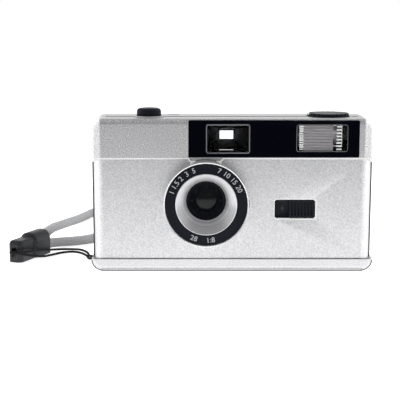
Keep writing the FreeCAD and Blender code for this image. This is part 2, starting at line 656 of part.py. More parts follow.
def make_rear_shell():
    """Silver rear top and side walls that the back door closes."""
    owner = body("rear_shell")
    across = on_both("side")
    seam = "top_seam + seam_gap"
    add(owner, "rear_hood", "XZ", (seam, "rear_face"),
        lambda s: draw_arch(s, across, ("hood_low", "body_height"), "hood_round"))
    inner = on_both("side - shell_wall")
    remove(owner, "rear_inside", "XZ", (f"{seam} - beyond", "rear_face - shell_wall"),
           lambda s: draw_arch(s, inner, ("hood_low - beyond", "hood_ceiling"), "hood_round - shell_wall"))
    through_back = ("rear_face - shell_wall - beyond", "rear_face + beyond")
    remove(owner, "door_opening", "XZ", through_back,
           lambda s: draw_box(s, inner, ("hood_low - beyond", "door_top + loose_gap")))
    wall = "rear_side - panel_wall"
    for name, x in (("left_wall", ("-rear_side", f"-({wall})")), ("right_wall", (wall, "rear_side"))):
        add(owner, name, "XY", ("base_height + seam_gap", "hood_low"),
            lambda s, x=x: draw_box(s, x, ("panel_end + side_groove", "rear_face")))
    web = (seam, "rear_face - 2 * shell_wall")
    add(owner, "left_web", "XY", ("hood_low - rest_gap", "door_top"),
        lambda s: draw_box(s, ("-side + shell_wall / 2", f"-({wall})"), web))
    add(owner, "right_web", "XY", ("hood_low - rest_gap", "door_top"),
        lambda s: draw_box(s, (wall, "side - shell_wall / 2"), web))
    remove(owner, "hinge_notch", "XY", ("base_height", "door_top + loose_gap"),
           lambda s: draw_box(s, HINGE_ROOM[0], HINGE_ROOM[1]))
    for number, (low, high) in enumerate(FRAME_KNUCKLES):
        add(owner, f"frame_web_{number + 1}", "XY", (low, high),
            lambda s: draw_box(s, ("-rear_side", "hinge_x - knuckle_radius / 2"),
                               ("hinge_y - knuckle_radius - 2 * knuckle_gap", "hinge_y")))
        add(owner, f"frame_knuckle_{number + 1}", "XY", (low, high),
            lambda s: draw_circle(s, ("hinge_x", "hinge_y"), "knuckle_radius"))
    remove(owner, "frame_pin_bore", "XY", ("base_height", "door_top"),
           lambda s: draw_circle(s, ("hinge_x", "hinge_y"), "pin_radius + running_gap"))
    remove(owner, "latch_slot", "YZ", (f"{wall} - beyond", "side + beyond"),
           lambda s: draw_box(s, (f"{LATCH_KEY[0][0]} - loose_gap", f"{LATCH_KEY[0][1]} + loose_gap"),
                              (f"{LATCH_KEY[1][0]} - latch_travel - loose_gap",
                               f"{LATCH_KEY[1][1]} + loose_gap")))
    remove(owner, "eyepiece_hole", "XZ", through_back,
           lambda s: draw_box(s, ("-eye_left - eye_rim - hole_gap", "eye_right + eye_rim + hole_gap"),
                              ("eye_low - eye_sill - hole_gap", "eye_high + eye_sill + hole_gap")))
    remove(owner, "wheel_slot", "XZ", through_back,
           lambda s: draw_box(s, ("-spool_left - slot_half", "-spool_left + slot_half"),
                              ("wheel_low - wheel_gap", "wheel_low + wheel_thick + wheel_gap")))
    remove(owner, "lamp_hole", "XZ", through_back,
           lambda s: draw_circle(s, LAMP_PLACE, "lamp_radius + running_gap"))
    remove(owner, "counter_hole", "XY", ("hood_ceiling - beyond", "body_height + beyond"),
           lambda s: draw_circle(s, COUNTER_VIEW, "pane_radius + fit_gap"))
    remove(owner, "button_hole_rear", "XY", ("hood_ceiling - beyond", "body_height + beyond"),
           lambda s: draw_circle(s, ("-button_left", "button_y"), "cup_radius + hole_gap"))
    remove(owner, "rewind_hole_rear", "XY", ("hood_ceiling - beyond", "body_height + beyond"),
           lambda s: draw_circle(s, ("knob_right", "cartridge_y"), "seat_radius + hole_gap"))


def make_front_panel():
    """Silver front: a tray whose sides wrap back, with the switch recess and board posts."""
    owner = body("front_panel")
    across = on_both("panel_side")
    add(owner, "panel", "XY", ("base_height + seam_gap", "hood_low - seam_gap"),
        lambda s: draw_box(s, across, ("panel_front", "panel_end")))
    fronts = [{"x": x, "y": "panel_front"} for x in across]
    dress(owner, "Fillet", "panel_corners", "panel_corner", "z", *fronts)
    remove(owner, "panel_inside", "XY", ("base_height - beyond", "hood_low + beyond"),
           lambda s: draw_box(s, on_both("panel_side - panel_wall"), ("panel_inner", "panel_end + beyond")))
    backs = [{"x": x, "y": "panel_inner"} for x in on_both("panel_side - panel_wall")]
    dress(owner, "Fillet", "inner_corners", "panel_corner - panel_wall", "z", *backs)
    recess_back = "panel_front + switch_depth + switch_floor"
    add(owner, "recess_box", "XZ", ("panel_inner - rest_gap", recess_back),
        lambda s: draw_box(s, ("switch_left - switch_floor", "switch_right + switch_floor"),
                           ("switch_low - switch_floor", "switch_high + switch_floor")))
    recess = (("switch_left", "switch_right"), ("switch_low", "switch_high"))
    remove(owner, "switch_recess", "XZ", ("panel_front - beyond", "panel_front + switch_depth"),
           lambda s: draw_box(s, *recess))
    dress(owner, "Fillet", "recess_corners", "switch_corner", "y", *corner_places(*recess))
    rims = [{"y": "panel_front", "z": z} for z in ("switch_low", "switch_high")]
    dress(owner, "Chamfer", "recess_bevel", "switch_bevel", "x", *rims)
    remove(owner, "peg_slot", "XZ", ("panel_front", f"{recess_back} + beyond"),
           lambda s: draw_box(s,
                              (f"{PEG_SIDES[0]} - switch_travel - loose_gap",
                               f"{PEG_SIDES[1]} + loose_gap"),
                              (f"{SWITCH_MIDDLE} - peg_tall / 2 - loose_gap",
                               f"{SWITCH_MIDDLE} + peg_tall / 2 + loose_gap")))
    remove(owner, "lens_hole", "XZ", ("panel_front - beyond", "panel_inner + beyond"),
           lambda s: draw_circle(s, ("lens_x", "lens_up"), "barrel_radius + 2.8"))
    left, right = "board_left + post_inset", "board_right - post_inset"
    low, high = "board_low + post_inset", "board_high - post_inset"
    for number, (x, z) in enumerate(((left, low), (right, low), (left, high))):
        add(owner, f"board_post_{number + 1}", "XZ",
            ("panel_inner - rest_gap", "panel_inner + post_height"),
            lambda s, x=x, z=z: draw_circle(s, (x, z), "1.2"))


def make_bottom_cover():
    """Silver tray under the camera, with the battery opening and the strap notch."""
    owner = body("bottom_cover")
    across = on_both("side")
    add(owner, "tray", "XY", ("0", "base_height"),
        lambda s: draw_box(s, across, ("hood_front", "rear_face")))
    lows = [{"x": x, "z": "0"} for x in across]
    dress(owner, "Fillet", "tray_shoulders", "base_round", "y", *lows)
    fronts = [{"x": x, "y": "hood_front"} for x in across]
    dress(owner, "Fillet", "tray_corners", "hood_corner", "z", *fronts)
    inside = ("hood_inner", "rear_face + beyond")
    above = "base_height + beyond"
    remove(owner, "tray_inside", "XY", ("shell_wall", above),
           lambda s: draw_box(s, on_both("side - 2 * shell_wall"), inside))
    remove(owner, "tray_shelf", "XY", ("base_height - shelf_depth", above),
           lambda s: draw_box(s, on_both("side - shell_wall"), inside))
    remove(owner, "hinge_room", "XY", ("shell_wall", above),
           lambda s: draw_box(s, HINGE_ROOM[0], HINGE_ROOM[1]))
    through_floor = ("-beyond", "shell_wall + beyond")
    half = "cell_radius + door_side + loose_gap"
    remove(owner, "cell_opening", "XY", through_floor,
           lambda s: draw_box(s, (f"cell_right - ({half})", f"cell_right + {half}"),
                              (f"cell_y - ({half})", f"cell_y + {half}")))
    remove(owner, "release_hole", "XY", through_floor,
           lambda s: draw_circle(s, ("-sprocket_left", "sprocket_y"), "release_radius + hole_gap"))
    for number, x in enumerate(SCREW_PLACES):
        remove(owner, f"screw_head_{number + 1}", "XY", ("-beyond", "head_depth + rest_gap"),
               lambda s, x=x: draw_circle(s, (x, "screw_y"), "screw_head + loose_gap"))
        remove(owner, f"screw_hole_{number + 1}", "XY", ("0", "shell_wall + beyond"),
               lambda s, x=x: draw_circle(s, (x, "screw_y"), "screw_radius + loose_gap"))
    remove(owner, "strap_notch", "YZ", ("-side - beyond", "-side + 2"),
           lambda s: draw_box(s, ("panel_front + 3.2", "panel_front + 7"), ("2.6", above)))


# Places that several pieces share

SCREW_PLACES = ("lens_x - screw_spread", "lens_x + screw_spread",
                "cell_right + cell_radius + boss_radius + 0.25")
LAMP_PLACE = ("eye_right + lamp_shift", "eye_middle")
COUNTER_VIEW = ("-counter_left", "sprocket_y + counter_view")
SWITCH_MIDDLE = "(switch_low + switch_high) / 2"
PEG_SIDES = ("switch_right - slider_gap - peg_inset - peg_wide", "switch_right - slider_gap - peg_inset")
HINGE_ROOM = (("-side - beyond", "hinge_x + knuckle_radius + knuckle_gap"),
              ("hinge_y - knuckle_radius - knuckle_gap", "rear_face + beyond"))
LATCH_KEY = (("latch_front + latch_lip", "latch_front + latch_wide - latch_lip"),
             ("latch_low + latch_lip", "latch_high - latch_lip"))
DOOR_KNUCKLES = [(f"knuckle_low + {number} * knuckle_pitch",
                  f"knuckle_low + {number} * knuckle_pitch + knuckle_length") for number in range(3)]
FRAME_KNUCKLES = [(f"knuckle_low + {number} * knuckle_pitch + knuckle_length + loose_gap",
                   f"knuckle_low + {number + 1} * knuckle_pitch - loose_gap") for number in range(2)]


def make_back_door():
    """Hinged back: outer plate, light-trap rim, knuckles, thumb rest and film window."""
    owner = body("back_door")
    plate = ("hinge_x + 0.2", "side - 1")
    add(owner, "door_plate", "XZ", ("door_inner", "door_back"),
        lambda s: draw_box(s, plate, ("door_low", "door_top")))
    corners = [{"x": plate[1], "z": z} for z in ("door_low", "door_top")]
    dress(owner, "Fillet", "door_corners", "2.5", "y", *corners)
    left, right = "hinge_x + 3.2", "side - 3.4"
    low, high = "chamber_floor + rim_wall", "door_top - rim_wall"
    add(owner, "door_rim", "XZ", ("door_inner - rim_depth", "door_inner + rest_gap"),
        lambda s: draw_box(s, (left, right), (low, high)))
    remove(owner, "rim_inside", "XZ", ("door_inner - rim_depth - beyond", "door_inner"),
           lambda s: draw_box(s, (f"{left} + rim_wall", f"{right} - rim_wall"),
                              (f"{low} + rim_wall", f"{high} - rim_wall")))
    for number, (low, high) in enumerate(FRAME_KNUCKLES):
        remove(owner, f"knuckle_gap_{number + 1}", "XY", (f"{low} - loose_gap", f"{high} + loose_gap"),
               lambda s: draw_box(s, HINGE_ROOM[0], ("door_inner - beyond", "door_back + beyond")))
    for number, (low, high) in enumerate(DOOR_KNUCKLES):
        add(owner, f"knuckle_{number + 1}", "XY", (low, high),
            lambda s: draw_circle(s, ("hinge_x", "hinge_y"), "knuckle_radius"))
        add(owner, f"knuckle_web_{number + 1}", "XY", (low, high),
            lambda s: draw_box(s, ("hinge_x", "hinge_x + knuckle_radius + knuckle_gap + 0.2"),
                               ("door_inner - door_wall / 2", "door_inner + door_wall / 4")))
    remove(owner, "pin_bore", "XY", ("knuckle_low - beyond", "door_top"),
           lambda s: draw_circle(s, ("hinge_x", "hinge_y"), "pin_radius + running_gap"))
    remove(owner, "film_window_hole", "XZ", ("door_inner - beyond", "door_back + beyond"),
           lambda s: draw_box(s, ("knob_right - view_half", "knob_right + view_half"),
                              ("lens_up - view_tall", "lens_up + view_tall")))
    groove = remove(owner, "thumb_groove", "XY", ("lens_up - view_tall", "lens_up - view_tall + 1"),
                    lambda s: draw_box(s, ("-spool_left - 4", "-spool_left + 7"),
                                       ("door_back - 0.25", "door_back + beyond")))
    repeat(owner, "LinearPattern", "thumb_grooves", groove, "Z", length="2 * view_tall - 2",
           count="thumb_lines")


# Windows, finder and flash

def make_window_panel():
    """Black gloss panel with the finder and flash openings and a hidden flange."""
    owner = body("window_panel")
    outline = (("-window_left", "window_right"), ("window_low", "window_high"))
    add(owner, "panel_plate", "XZ", ("window_face", "window_back"), lambda s: draw_box(s, *outline))
    dress(owner, "Fillet", "plate_corners", "window_corner", "y", *corner_places(*outline))
    for name, (left, right), (low, high) in (
            ("finder", ("-finder_left", "finder_right"), ("finder_low", "finder_high")),
            ("flash", ("flash_left", "flash_right"), ("flash_low", "flash_high"))):
        hole = ((f"{left} - fit_gap", f"{right} + fit_gap"), (f"{low} - fit_gap", f"{high} + fit_gap"))
        remove(owner, name + "_hole", "XZ", ("window_face - beyond", "window_back + beyond"),
               lambda s, hole=hole: draw_box(s, *hole))
        dress(owner, "Fillet", name + "_corners", "glass_corner + fit_gap", "y", *corner_places(*hole))


def make_finder():
    """Window, tapered tunnel, front lens, eyepiece lens and eyepiece bezel."""
    middle = ("(finder_right - finder_left) / 2", "(finder_high + finder_low) / 2")
    owner = body("finder_window")
    outline = (("-finder_left", "finder_right"), ("finder_low", "finder_high"))
    add(owner, "window_plate", "XZ", ("window_face", "window_back"), lambda s: draw_box(s, *outline))
    dress(owner, "Fillet", "window_corners", "glass_corner", "y", *corner_places(*outline))
    dress(owner, "Chamfer", "window_bevel", "glass_bevel", "x", {"y": "window_face", "z": "finder_high"})

    front, back = "window_back + hole_gap", "rear_face - shell_wall - hole_gap"
    half = ("(finder_right + finder_left) / 2 - 1", "(finder_high - finder_low) / 2 - 0.8")
    eye = ("(eye_right + eye_left) / 2 + 0.5", "(eye_high - eye_low) / 2 + 0.05")
    wall = "0.6"
    outside = finder_taper("finder_outside", middle, (front, back), half, eye, wall)
    inside = finder_taper("finder_inside", middle, (f"{front} - 0.05", f"{back} + 0.05"), half, eye, "0")
    node(cut("finder_tunnel_cut", outside, inside), "finder_tunnel")

    lens_back = f"{front} + 2.6"
    plate = block("objective_plate", ("-finder_left + 1.6", "finder_right - 1.6"),
                  (f"{front} + 0.6", lens_back), ("finder_low + 1.4", "finder_high - 1.6"))
    dish = ball("objective_dish", (middle[0], f"{front} + 1.5 - 19", middle[1]), "19")
    node(cut("objective", plate, dish), "finder_objective")

    owner = body("finder_eyepiece")
    tube = (("-eye_left - eye_rim", "eye_right + eye_rim"), ("eye_low - eye_sill", "eye_high + eye_sill"))
    add(owner, "eye_plate", "XZ", (f"{back} + loose_gap", "rear_face - 0.3"), lambda s: draw_box(s, *tube))
    owner = body("eyepiece_bezel")
    add(owner, "bezel_plate", "XZ", ("rear_face + rest_gap", "rear_face + 0.8"),
        lambda s: draw_box(s, ("-eye_left - 2", "eye_right + 2"), ("eye_low - 0.75", "eye_high + 1.8")))
    add(owner, "bezel_tube", "XZ", ("rear_face - 0.25", "rear_face + hole_gap"),
        lambda s: draw_box(s, *tube))
    remove(owner, "bezel_hole", "XZ", ("rear_face - beyond", "rear_face + beyond"),
           lambda s: draw_box(s, ("-eye_left", "eye_right"), ("eye_low", "eye_high")))


def finder_taper(name, middle, span, half, eye, wall):
    """Solid taper from the finder window to the eyepiece, whose axes don't line up."""
    made = doc.addObject("Part::Wedge", name)
    eye_centre = ("(eye_right - eye_left) / 2", "eye_middle + finder_lift")
    made.setExpression("Ymin", "0")
    made.setExpression("Ymax", bound(f"({span[1]}) - ({span[0]})"))
    for axis, number in (("X", 0), ("Z", 1)):
        shift = f"({eye_centre[number]}) - ({middle[number]})"
        made.setExpression(f"{axis}min", bound(f"-({half[number]}) - {wall}"))
        made.setExpression(f"{axis}max", bound(f"({half[number]}) + {wall}"))
        made.setExpression(f"{axis}2min", bound(f"{shift} - ({eye[number]}) - {wall}"))
        made.setExpression(f"{axis}2max", bound(f"{shift} + ({eye[number]}) + {wall}"))
    move_to(made, middle[0], span[0], middle[1])
    return made


def make_flash():
    """Ribbed window, trough reflector, tube, ready lamp, board and capacitor."""
    owner = body("flash_window")
    outline = (("flash_left", "flash_right"), ("flash_low", "flash_high"))
    add(owner, "flash_plate", "XZ", ("window_face", "window_back"), lambda s: draw_box(s, *outline))
    dress(owner, "Fillet", "flash_corners", "glass_corner", "y", *corner_places(*outline))
    dress(owner, "Chamfer", "flash_bevel", "glass_bevel / 2", "x", {"y": "window_face", "z": "flash_high"})
    pitch = "(flash_high - flash_low - 1) / flash_ribs"
    ribs = (("flash_left + 1", "flash_right - 1"), ("flash_low + 0.6", f"flash_low + 0.6 + 0.5 * {pitch}"))
    rib = add(owner, "flash_rib", "XZ", ("window_back - rest_gap", "window_back + 0.25"),
              lambda s: draw_box(s, *ribs))
    repeat(owner, "LinearPattern", "flash_rib_row", rib, "Z",
           length=f"{pitch} * (flash_ribs - 1)", count="flash_ribs")

    centre = ("hood_inner + 0.55", "flash_up")
    span = ("flash_left + 1.2", "flash_right - 2.2")
    inner_span = (f"{span[0]} + reflector_wall", f"{span[1]} - reflector_wall")
    outer = rod("reflector_outer", "x", centre, span, "reflector_radius")
    inner = rod("reflector_inner", "x", centre, inner_span, "reflector_radius - reflector_wall")
    mouth = block("reflector_mouth", (f"{span[0]} - 1", f"{span[1]} + 1"),
                  ("hood_front - 4", "hood_inner + 0.5"),
                  (f"flash_up - reflector_radius - 1", "flash_high + 2"))
    tube_y = "hood_inner + 2.3"
    tube_hole = rod("tube_hole", "x", (tube_y, "flash_up"), (f"{span[0]} - 1", f"{span[1]} + 1"),
                    "tube_radius + 0.15")
    node(cut("reflector", outer, inner, mouth, tube_hole), "flash_reflector")
    glass = rod("tube_glass", "x", (tube_y, "flash_up"), (f"{span[0]} - 0.6", f"{span[1]} + 0.6"),
                "tube_radius")
    caps = [rod(f"tube_cap_{end}", "x", (tube_y, "flash_up"), pair, "0.5") for end, pair in
            (("left", (f"{span[0]} - 2.4", f"{span[0]} - 0.5")),
             ("right", (f"{span[1]} + 0.5", f"{span[1]} + 2.4")))]
    node(fuse("tube", glass, *caps), "flash_tube")

    lamp = LAMP_PLACE
    stem = rod("lamp_stem", "y", lamp, ("rear_face - 3", "rear_face + hole_gap"), "lamp_radius")
    dome = ball("lamp_dome", (lamp[0], "rear_face - 0.6", lamp[1]), "lamp_radius + 0.13")
    foot = rod("lamp_foot", "y", lamp, ("rear_face - 3", "rear_face - shell_wall - fit_gap"), "1.9")
    tip = common("lamp_tip", dome, rod("lamp_trim", "y", lamp, ("rear_face", "door_back"), "lamp_radius"))
    node(fuse("lamp", stem, tip, foot), "ready_lamp")

    board_front = "panel_inner + post_height + fit_gap"
    board = block("board_plate", ("board_left", "board_right"), (board_front, f"{board_front} + 1"),
                  ("board_low", "board_high"))
    coil = rod("board_coil", "z", ("coil_right", f"{board_front} + coil_half + 0.6"),
               ("coil_low", "coil_high"), "coil_half")
    chip = block("board_chip", ("chip_left", "chip_right"),
                 (f"{board_front} + 0.9", f"{board_front} + 2.2"),
                 ("chip_low", "chip_high"))
    node(fuse("board", board, coil, chip), "flash_board")
    can = ("-can_left", "panel_inner + 0.2 + can_radius")
    node(fuse("capacitor_can", rod("can", "z", can, ("can_low", "can_high"), "can_radius"),
              rod("can_lead", "z", can, ("can_high - 0.1", "can_high + 1"), "1.5")), "flash_capacitor")


def make_flash_switch():
    """Ribbed slider whose peg reaches through the floor of its recess."""
    owner = body("flash_switch")
    left = "switch_right - slider_gap - slider_length"
    face = ("panel_front - 0.15", "panel_front + switch_depth - fit_gap")
    outline = ((left, "switch_right - slider_gap"), ("switch_low + slider_gap", "switch_high - slider_gap"))
    add(owner, "slider", "XZ", face, lambda s: draw_box(s, *outline))
    dress(owner, "Fillet", "slider_corners", "switch_corner - slider_gap", "y", *corner_places(*outline))
    pitch = "(slider_length - 1.2) / slider_ribs"
    groove = remove(owner, "grip_groove", "XZ", (f"{face[0]} - beyond", f"{face[0]} + 0.5"),
                    lambda s: draw_box(s, (f"{left} + 0.8", f"{left} + 0.8 + 0.5 * {pitch}"),
                                       ("switch_low + 1", "switch_high - 1")))
    repeat(owner, "LinearPattern", "grip_grooves", groove, "X",
           length=f"{pitch} * (slider_ribs - 1)", count="slider_ribs")
    add(owner, "peg", "XZ", ("panel_front + switch_depth - hole_gap", "panel_inner + 1.8"),
        lambda s: draw_box(s, PEG_SIDES,
                           (f"{SWITCH_MIDDLE} - peg_tall / 2", f"{SWITCH_MIDDLE} + peg_tall / 2")))


# Lens and shutter

def make_lens():
    """Turned parts about the optical axis, then the two elements and the aperture."""
    def turned(label, points):
        revolve(body(label, "lens_x", "0", "lens_up"), label + "_turning", "XY", points)

    inside = "rim_radius - rim_width"
    floor = "scale_back + 0.02"
    turned("lens_ring", [
        ("rim_radius", "panel_front - 0.02"), ("rim_radius", "ring_front + 0.4"),
        ("rim_radius - 0.3", "ring_front"), (inside, "ring_front"), (inside, floor),
        ("scale_inner + 0.8", floor), ("scale_inner + 0.8", f"{floor} + 0.9"),
        ("rim_radius - 1.5", f"{floor} + 0.9"), ("rim_radius - 1.5", "panel_front - 0.02")])
    turned("scale_ring", [
        (f"{inside} - 0.04", "scale_back"), (f"{inside} - 0.04", "ring_front + 0.25"),
        ("(rim_radius + scale_inner) / 2", "ring_front + 0.35"),
        ("scale_inner", "ring_front + 0.2"), ("scale_inner", "scale_back")])
    mouth = "barrel_radius + 0.06"
    turned("lens_cone", [
        ("scale_inner", floor), ("scale_inner + 0.74", floor), ("scale_inner + 0.74", f"{floor} + 0.9"),
        (f"{mouth} + 1.1", "barrel_front + 0.2"), (f"{mouth} + 1.1", "barrel_front + 1.4"),
        (mouth, "barrel_front + 1.4"), (mouth, "barrel_front - 0.3"),
        (f"(scale_inner + {mouth}) / 2 - 0.5", "(ring_front + barrel_front) / 2 + 0.6")])
    bore = "glass_radius + glass_gap"
    turned("lens_barrel", [
        ("barrel_radius", "barrel_front"), ("barrel_radius", "shutter_y - 1.1"),
        ("barrel_radius + 2", "shutter_y - 1.1"), ("barrel_radius + 2", "shutter_y - 0.05"),
        (bore, "shutter_y - 0.05"), (bore, "glass_front - 0.1"), ("stop_radius", "glass_front - 0.1"),
        ("stop_radius", "barrel_front + 0.7"), ("stop_radius + 1", "barrel_front + 0.7"),
        ("stop_radius + 1", "barrel_front + 0.35"), ("stop_radius + 2.2", "barrel_front + 0.35"),
        ("stop_radius + 2.2", "barrel_front")])
    axis = ("lens_x", "lens_up")
    bulge = ball("front_bulge", ("lens_x", "glass_front + 13.2", "lens_up"), "14")
    blank = rod("front_blank", "y", axis, ("glass_front - 1.2", "glass_front + 1.6"), "stop_radius - 0.05")
    seat = rod("front_seat", "y", axis, ("glass_front", "glass_front + 1.6"), "glass_radius")
    node(fuse("front_element", common("front_cap", blank, bulge), seat), "front_lens")
    plate = rod("aperture_disc", "y", axis, ("glass_front + 1.7", "glass_front + 2.1"), "glass_radius")
    iris = rod("aperture_hole", "y", axis, ("glass_front + 1", "glass_front + 3"), "iris_radius")
    node(cut("aperture", plate, iris), "aperture_plate")
    rear = rod("rear_blank", "y", axis, ("glass_front + 2.2", "glass_front + 4.6"), "glass_radius")
    rear_bulge = ball("rear_bulge", ("lens_x", "glass_front + 4.2 - 14", "lens_up"), "14")
    node(common("rear_element", rear, rear_bulge), "rear_lens")


def make_shutter():
    """Plate with its posts, swinging blade, push lever, button, collar and spring."""
    axis = ("lens_x", "lens_up")
    span = ("shutter_y", "plate_back")
    plate = block("shutter_base", ("lens_x - shutter_half - 2.2", "lens_x + shutter_half"), span,
                  ("lens_up - shutter_half", "lens_up + shutter_half"))
    hole = rod("shutter_hole", "y", axis, ("shutter_y - 1", "plate_back + 1"), "shutter_hole")
    posts = [rod(f"post_{number}", "y", (f"lens_x + {x}", f"lens_up + {z}"),
                 ("shutter_y", "box_front - 0.02"), "1")
             for number, (x, z) in enumerate(((6.2, 5.2), (6.2, -5.2), (-6.2, -5.2)))]
    stud = rod("blade_stud", "y", ("pivot_x", "lens_up"), ("shutter_y", "plate_back + 0.9"), "stud_radius")
    node(fuse("shutter_plate_fuse", cut("shutter_base_cut", plate, hole), stud, *posts), "shutter_plate")

    thin = ("plate_back + 0.25", "plate_back + 0.5")
    disc = rod("blade_disc", "y", axis, thin, "blade_radius")
    arm = block("blade_arm", ("pivot_x - 4.6", "lens_x"), thin, ("lens_up - 1.5", "lens_up + 1.5"))
    hub = rod("blade_hub", "y", ("pivot_x", "lens_up"), thin, "2")
    bore = rod("blade_bore", "y", ("pivot_x", "lens_up"), ("plate_back", "plate_back + 1"),
               "stud_radius + running_gap")
    node(cut("blade", fuse("blade_fuse", disc, arm, hub), bore), "shutter_blade")

    flat = ("plate_back - 0.95", "plate_back - 0.15")
    tab = block("lever_tab", ("-button_left - 1.4", "-button_left + 1.2"), (flat[0], "button_y + 1.6"),
                ("deck + 0.9", "deck + 1.7"))
    neck = block("lever_neck", ("-button_left - 1.4", "-button_left + 2.4"), flat,
                 ("lever_low", "deck + 1.7"))
    bar = block("lever_bar", ("-button_left - 1.4", "pivot_x - 2.6"), flat, ("lever_low", "lever_high"))
    leg = block("lever_leg", ("pivot_x - 5.6", "pivot_x - 2.6"), flat, ("lens_up + 1.8", "lever_high"))
    foot = block("lever_foot", ("pivot_x - 5.6", "pivot_x - 2.6"), (flat[0], thin[1]),
                 ("lens_up + 1.8", "lens_up + 2.6"))
    node(fuse("lever", tab, neck, bar, leg, foot), "release_lever")

    owner = body("shutter_button", "-button_left", "button_y", "0")
    under = "body_height - 1.3"
    foot = "deck + 1.7 + rest_gap"
    revolve(owner, "button_turning", "XZ", [
        ("0", foot), ("stem_radius", foot), ("stem_radius", under), ("button_radius", under),
        ("button_radius", "button_top - 1.3"), ("button_radius - 0.35", "button_top - 0.5"),
        ("button_radius - 1.2", "button_top - 0.08"), ("button_radius - 2.2", "button_top"),
        ("1.6", "button_top - 0.25"), ("0", "button_top - 0.4")])
    owner = body("button_collar", "-button_left", "button_y", "0")
    flange = "body_height + rest_gap"
    floor = "cup_low + cup_floor"
    revolve(owner, "collar_turning", "XZ", [
        ("stem_radius + running_gap", "cup_low"), ("cup_radius", "cup_low"), ("cup_radius", flange),
        ("collar_radius", flange), ("collar_radius - 0.1", "body_height + 0.4"),
        ("button_radius + button_gap", "body_height + 0.5"), ("button_radius + button_gap", floor),
        ("stem_radius + running_gap", floor)])

    length = f"({under}) - ({floor}) - 2 * wire_radius - 2 * fit_gap"
    coil = doc.addObject("Part::Helix", "spring_path")
    coil.setExpression("Pitch", bound(f"({length}) / coil_turns"))
    coil.setExpression("Height", bound(length))
    coil.setExpression("Radius", bound("coil_radius"))
    wire = doc.addObject("Part::Circle", "spring_wire")
    wire.setExpression("Radius", bound("wire_radius"))
    wire.Placement = Placement(Vector(), Rotation(Vector(1, 0, 0), 90))
    move_to(wire, "coil_radius", "0", "0")
    sweep = doc.addObject("Part::Sweep", "spring_sweep")
    sweep.Sections = [wire]
    sweep.Spine = (coil, [])
    sweep.Solid = True
    sweep.Frenet = True
    move_to(sweep, "-button_left", "button_y", f"{floor} + wire_radius + fit_gap")
    node(sweep, "button_spring")


# Film transport

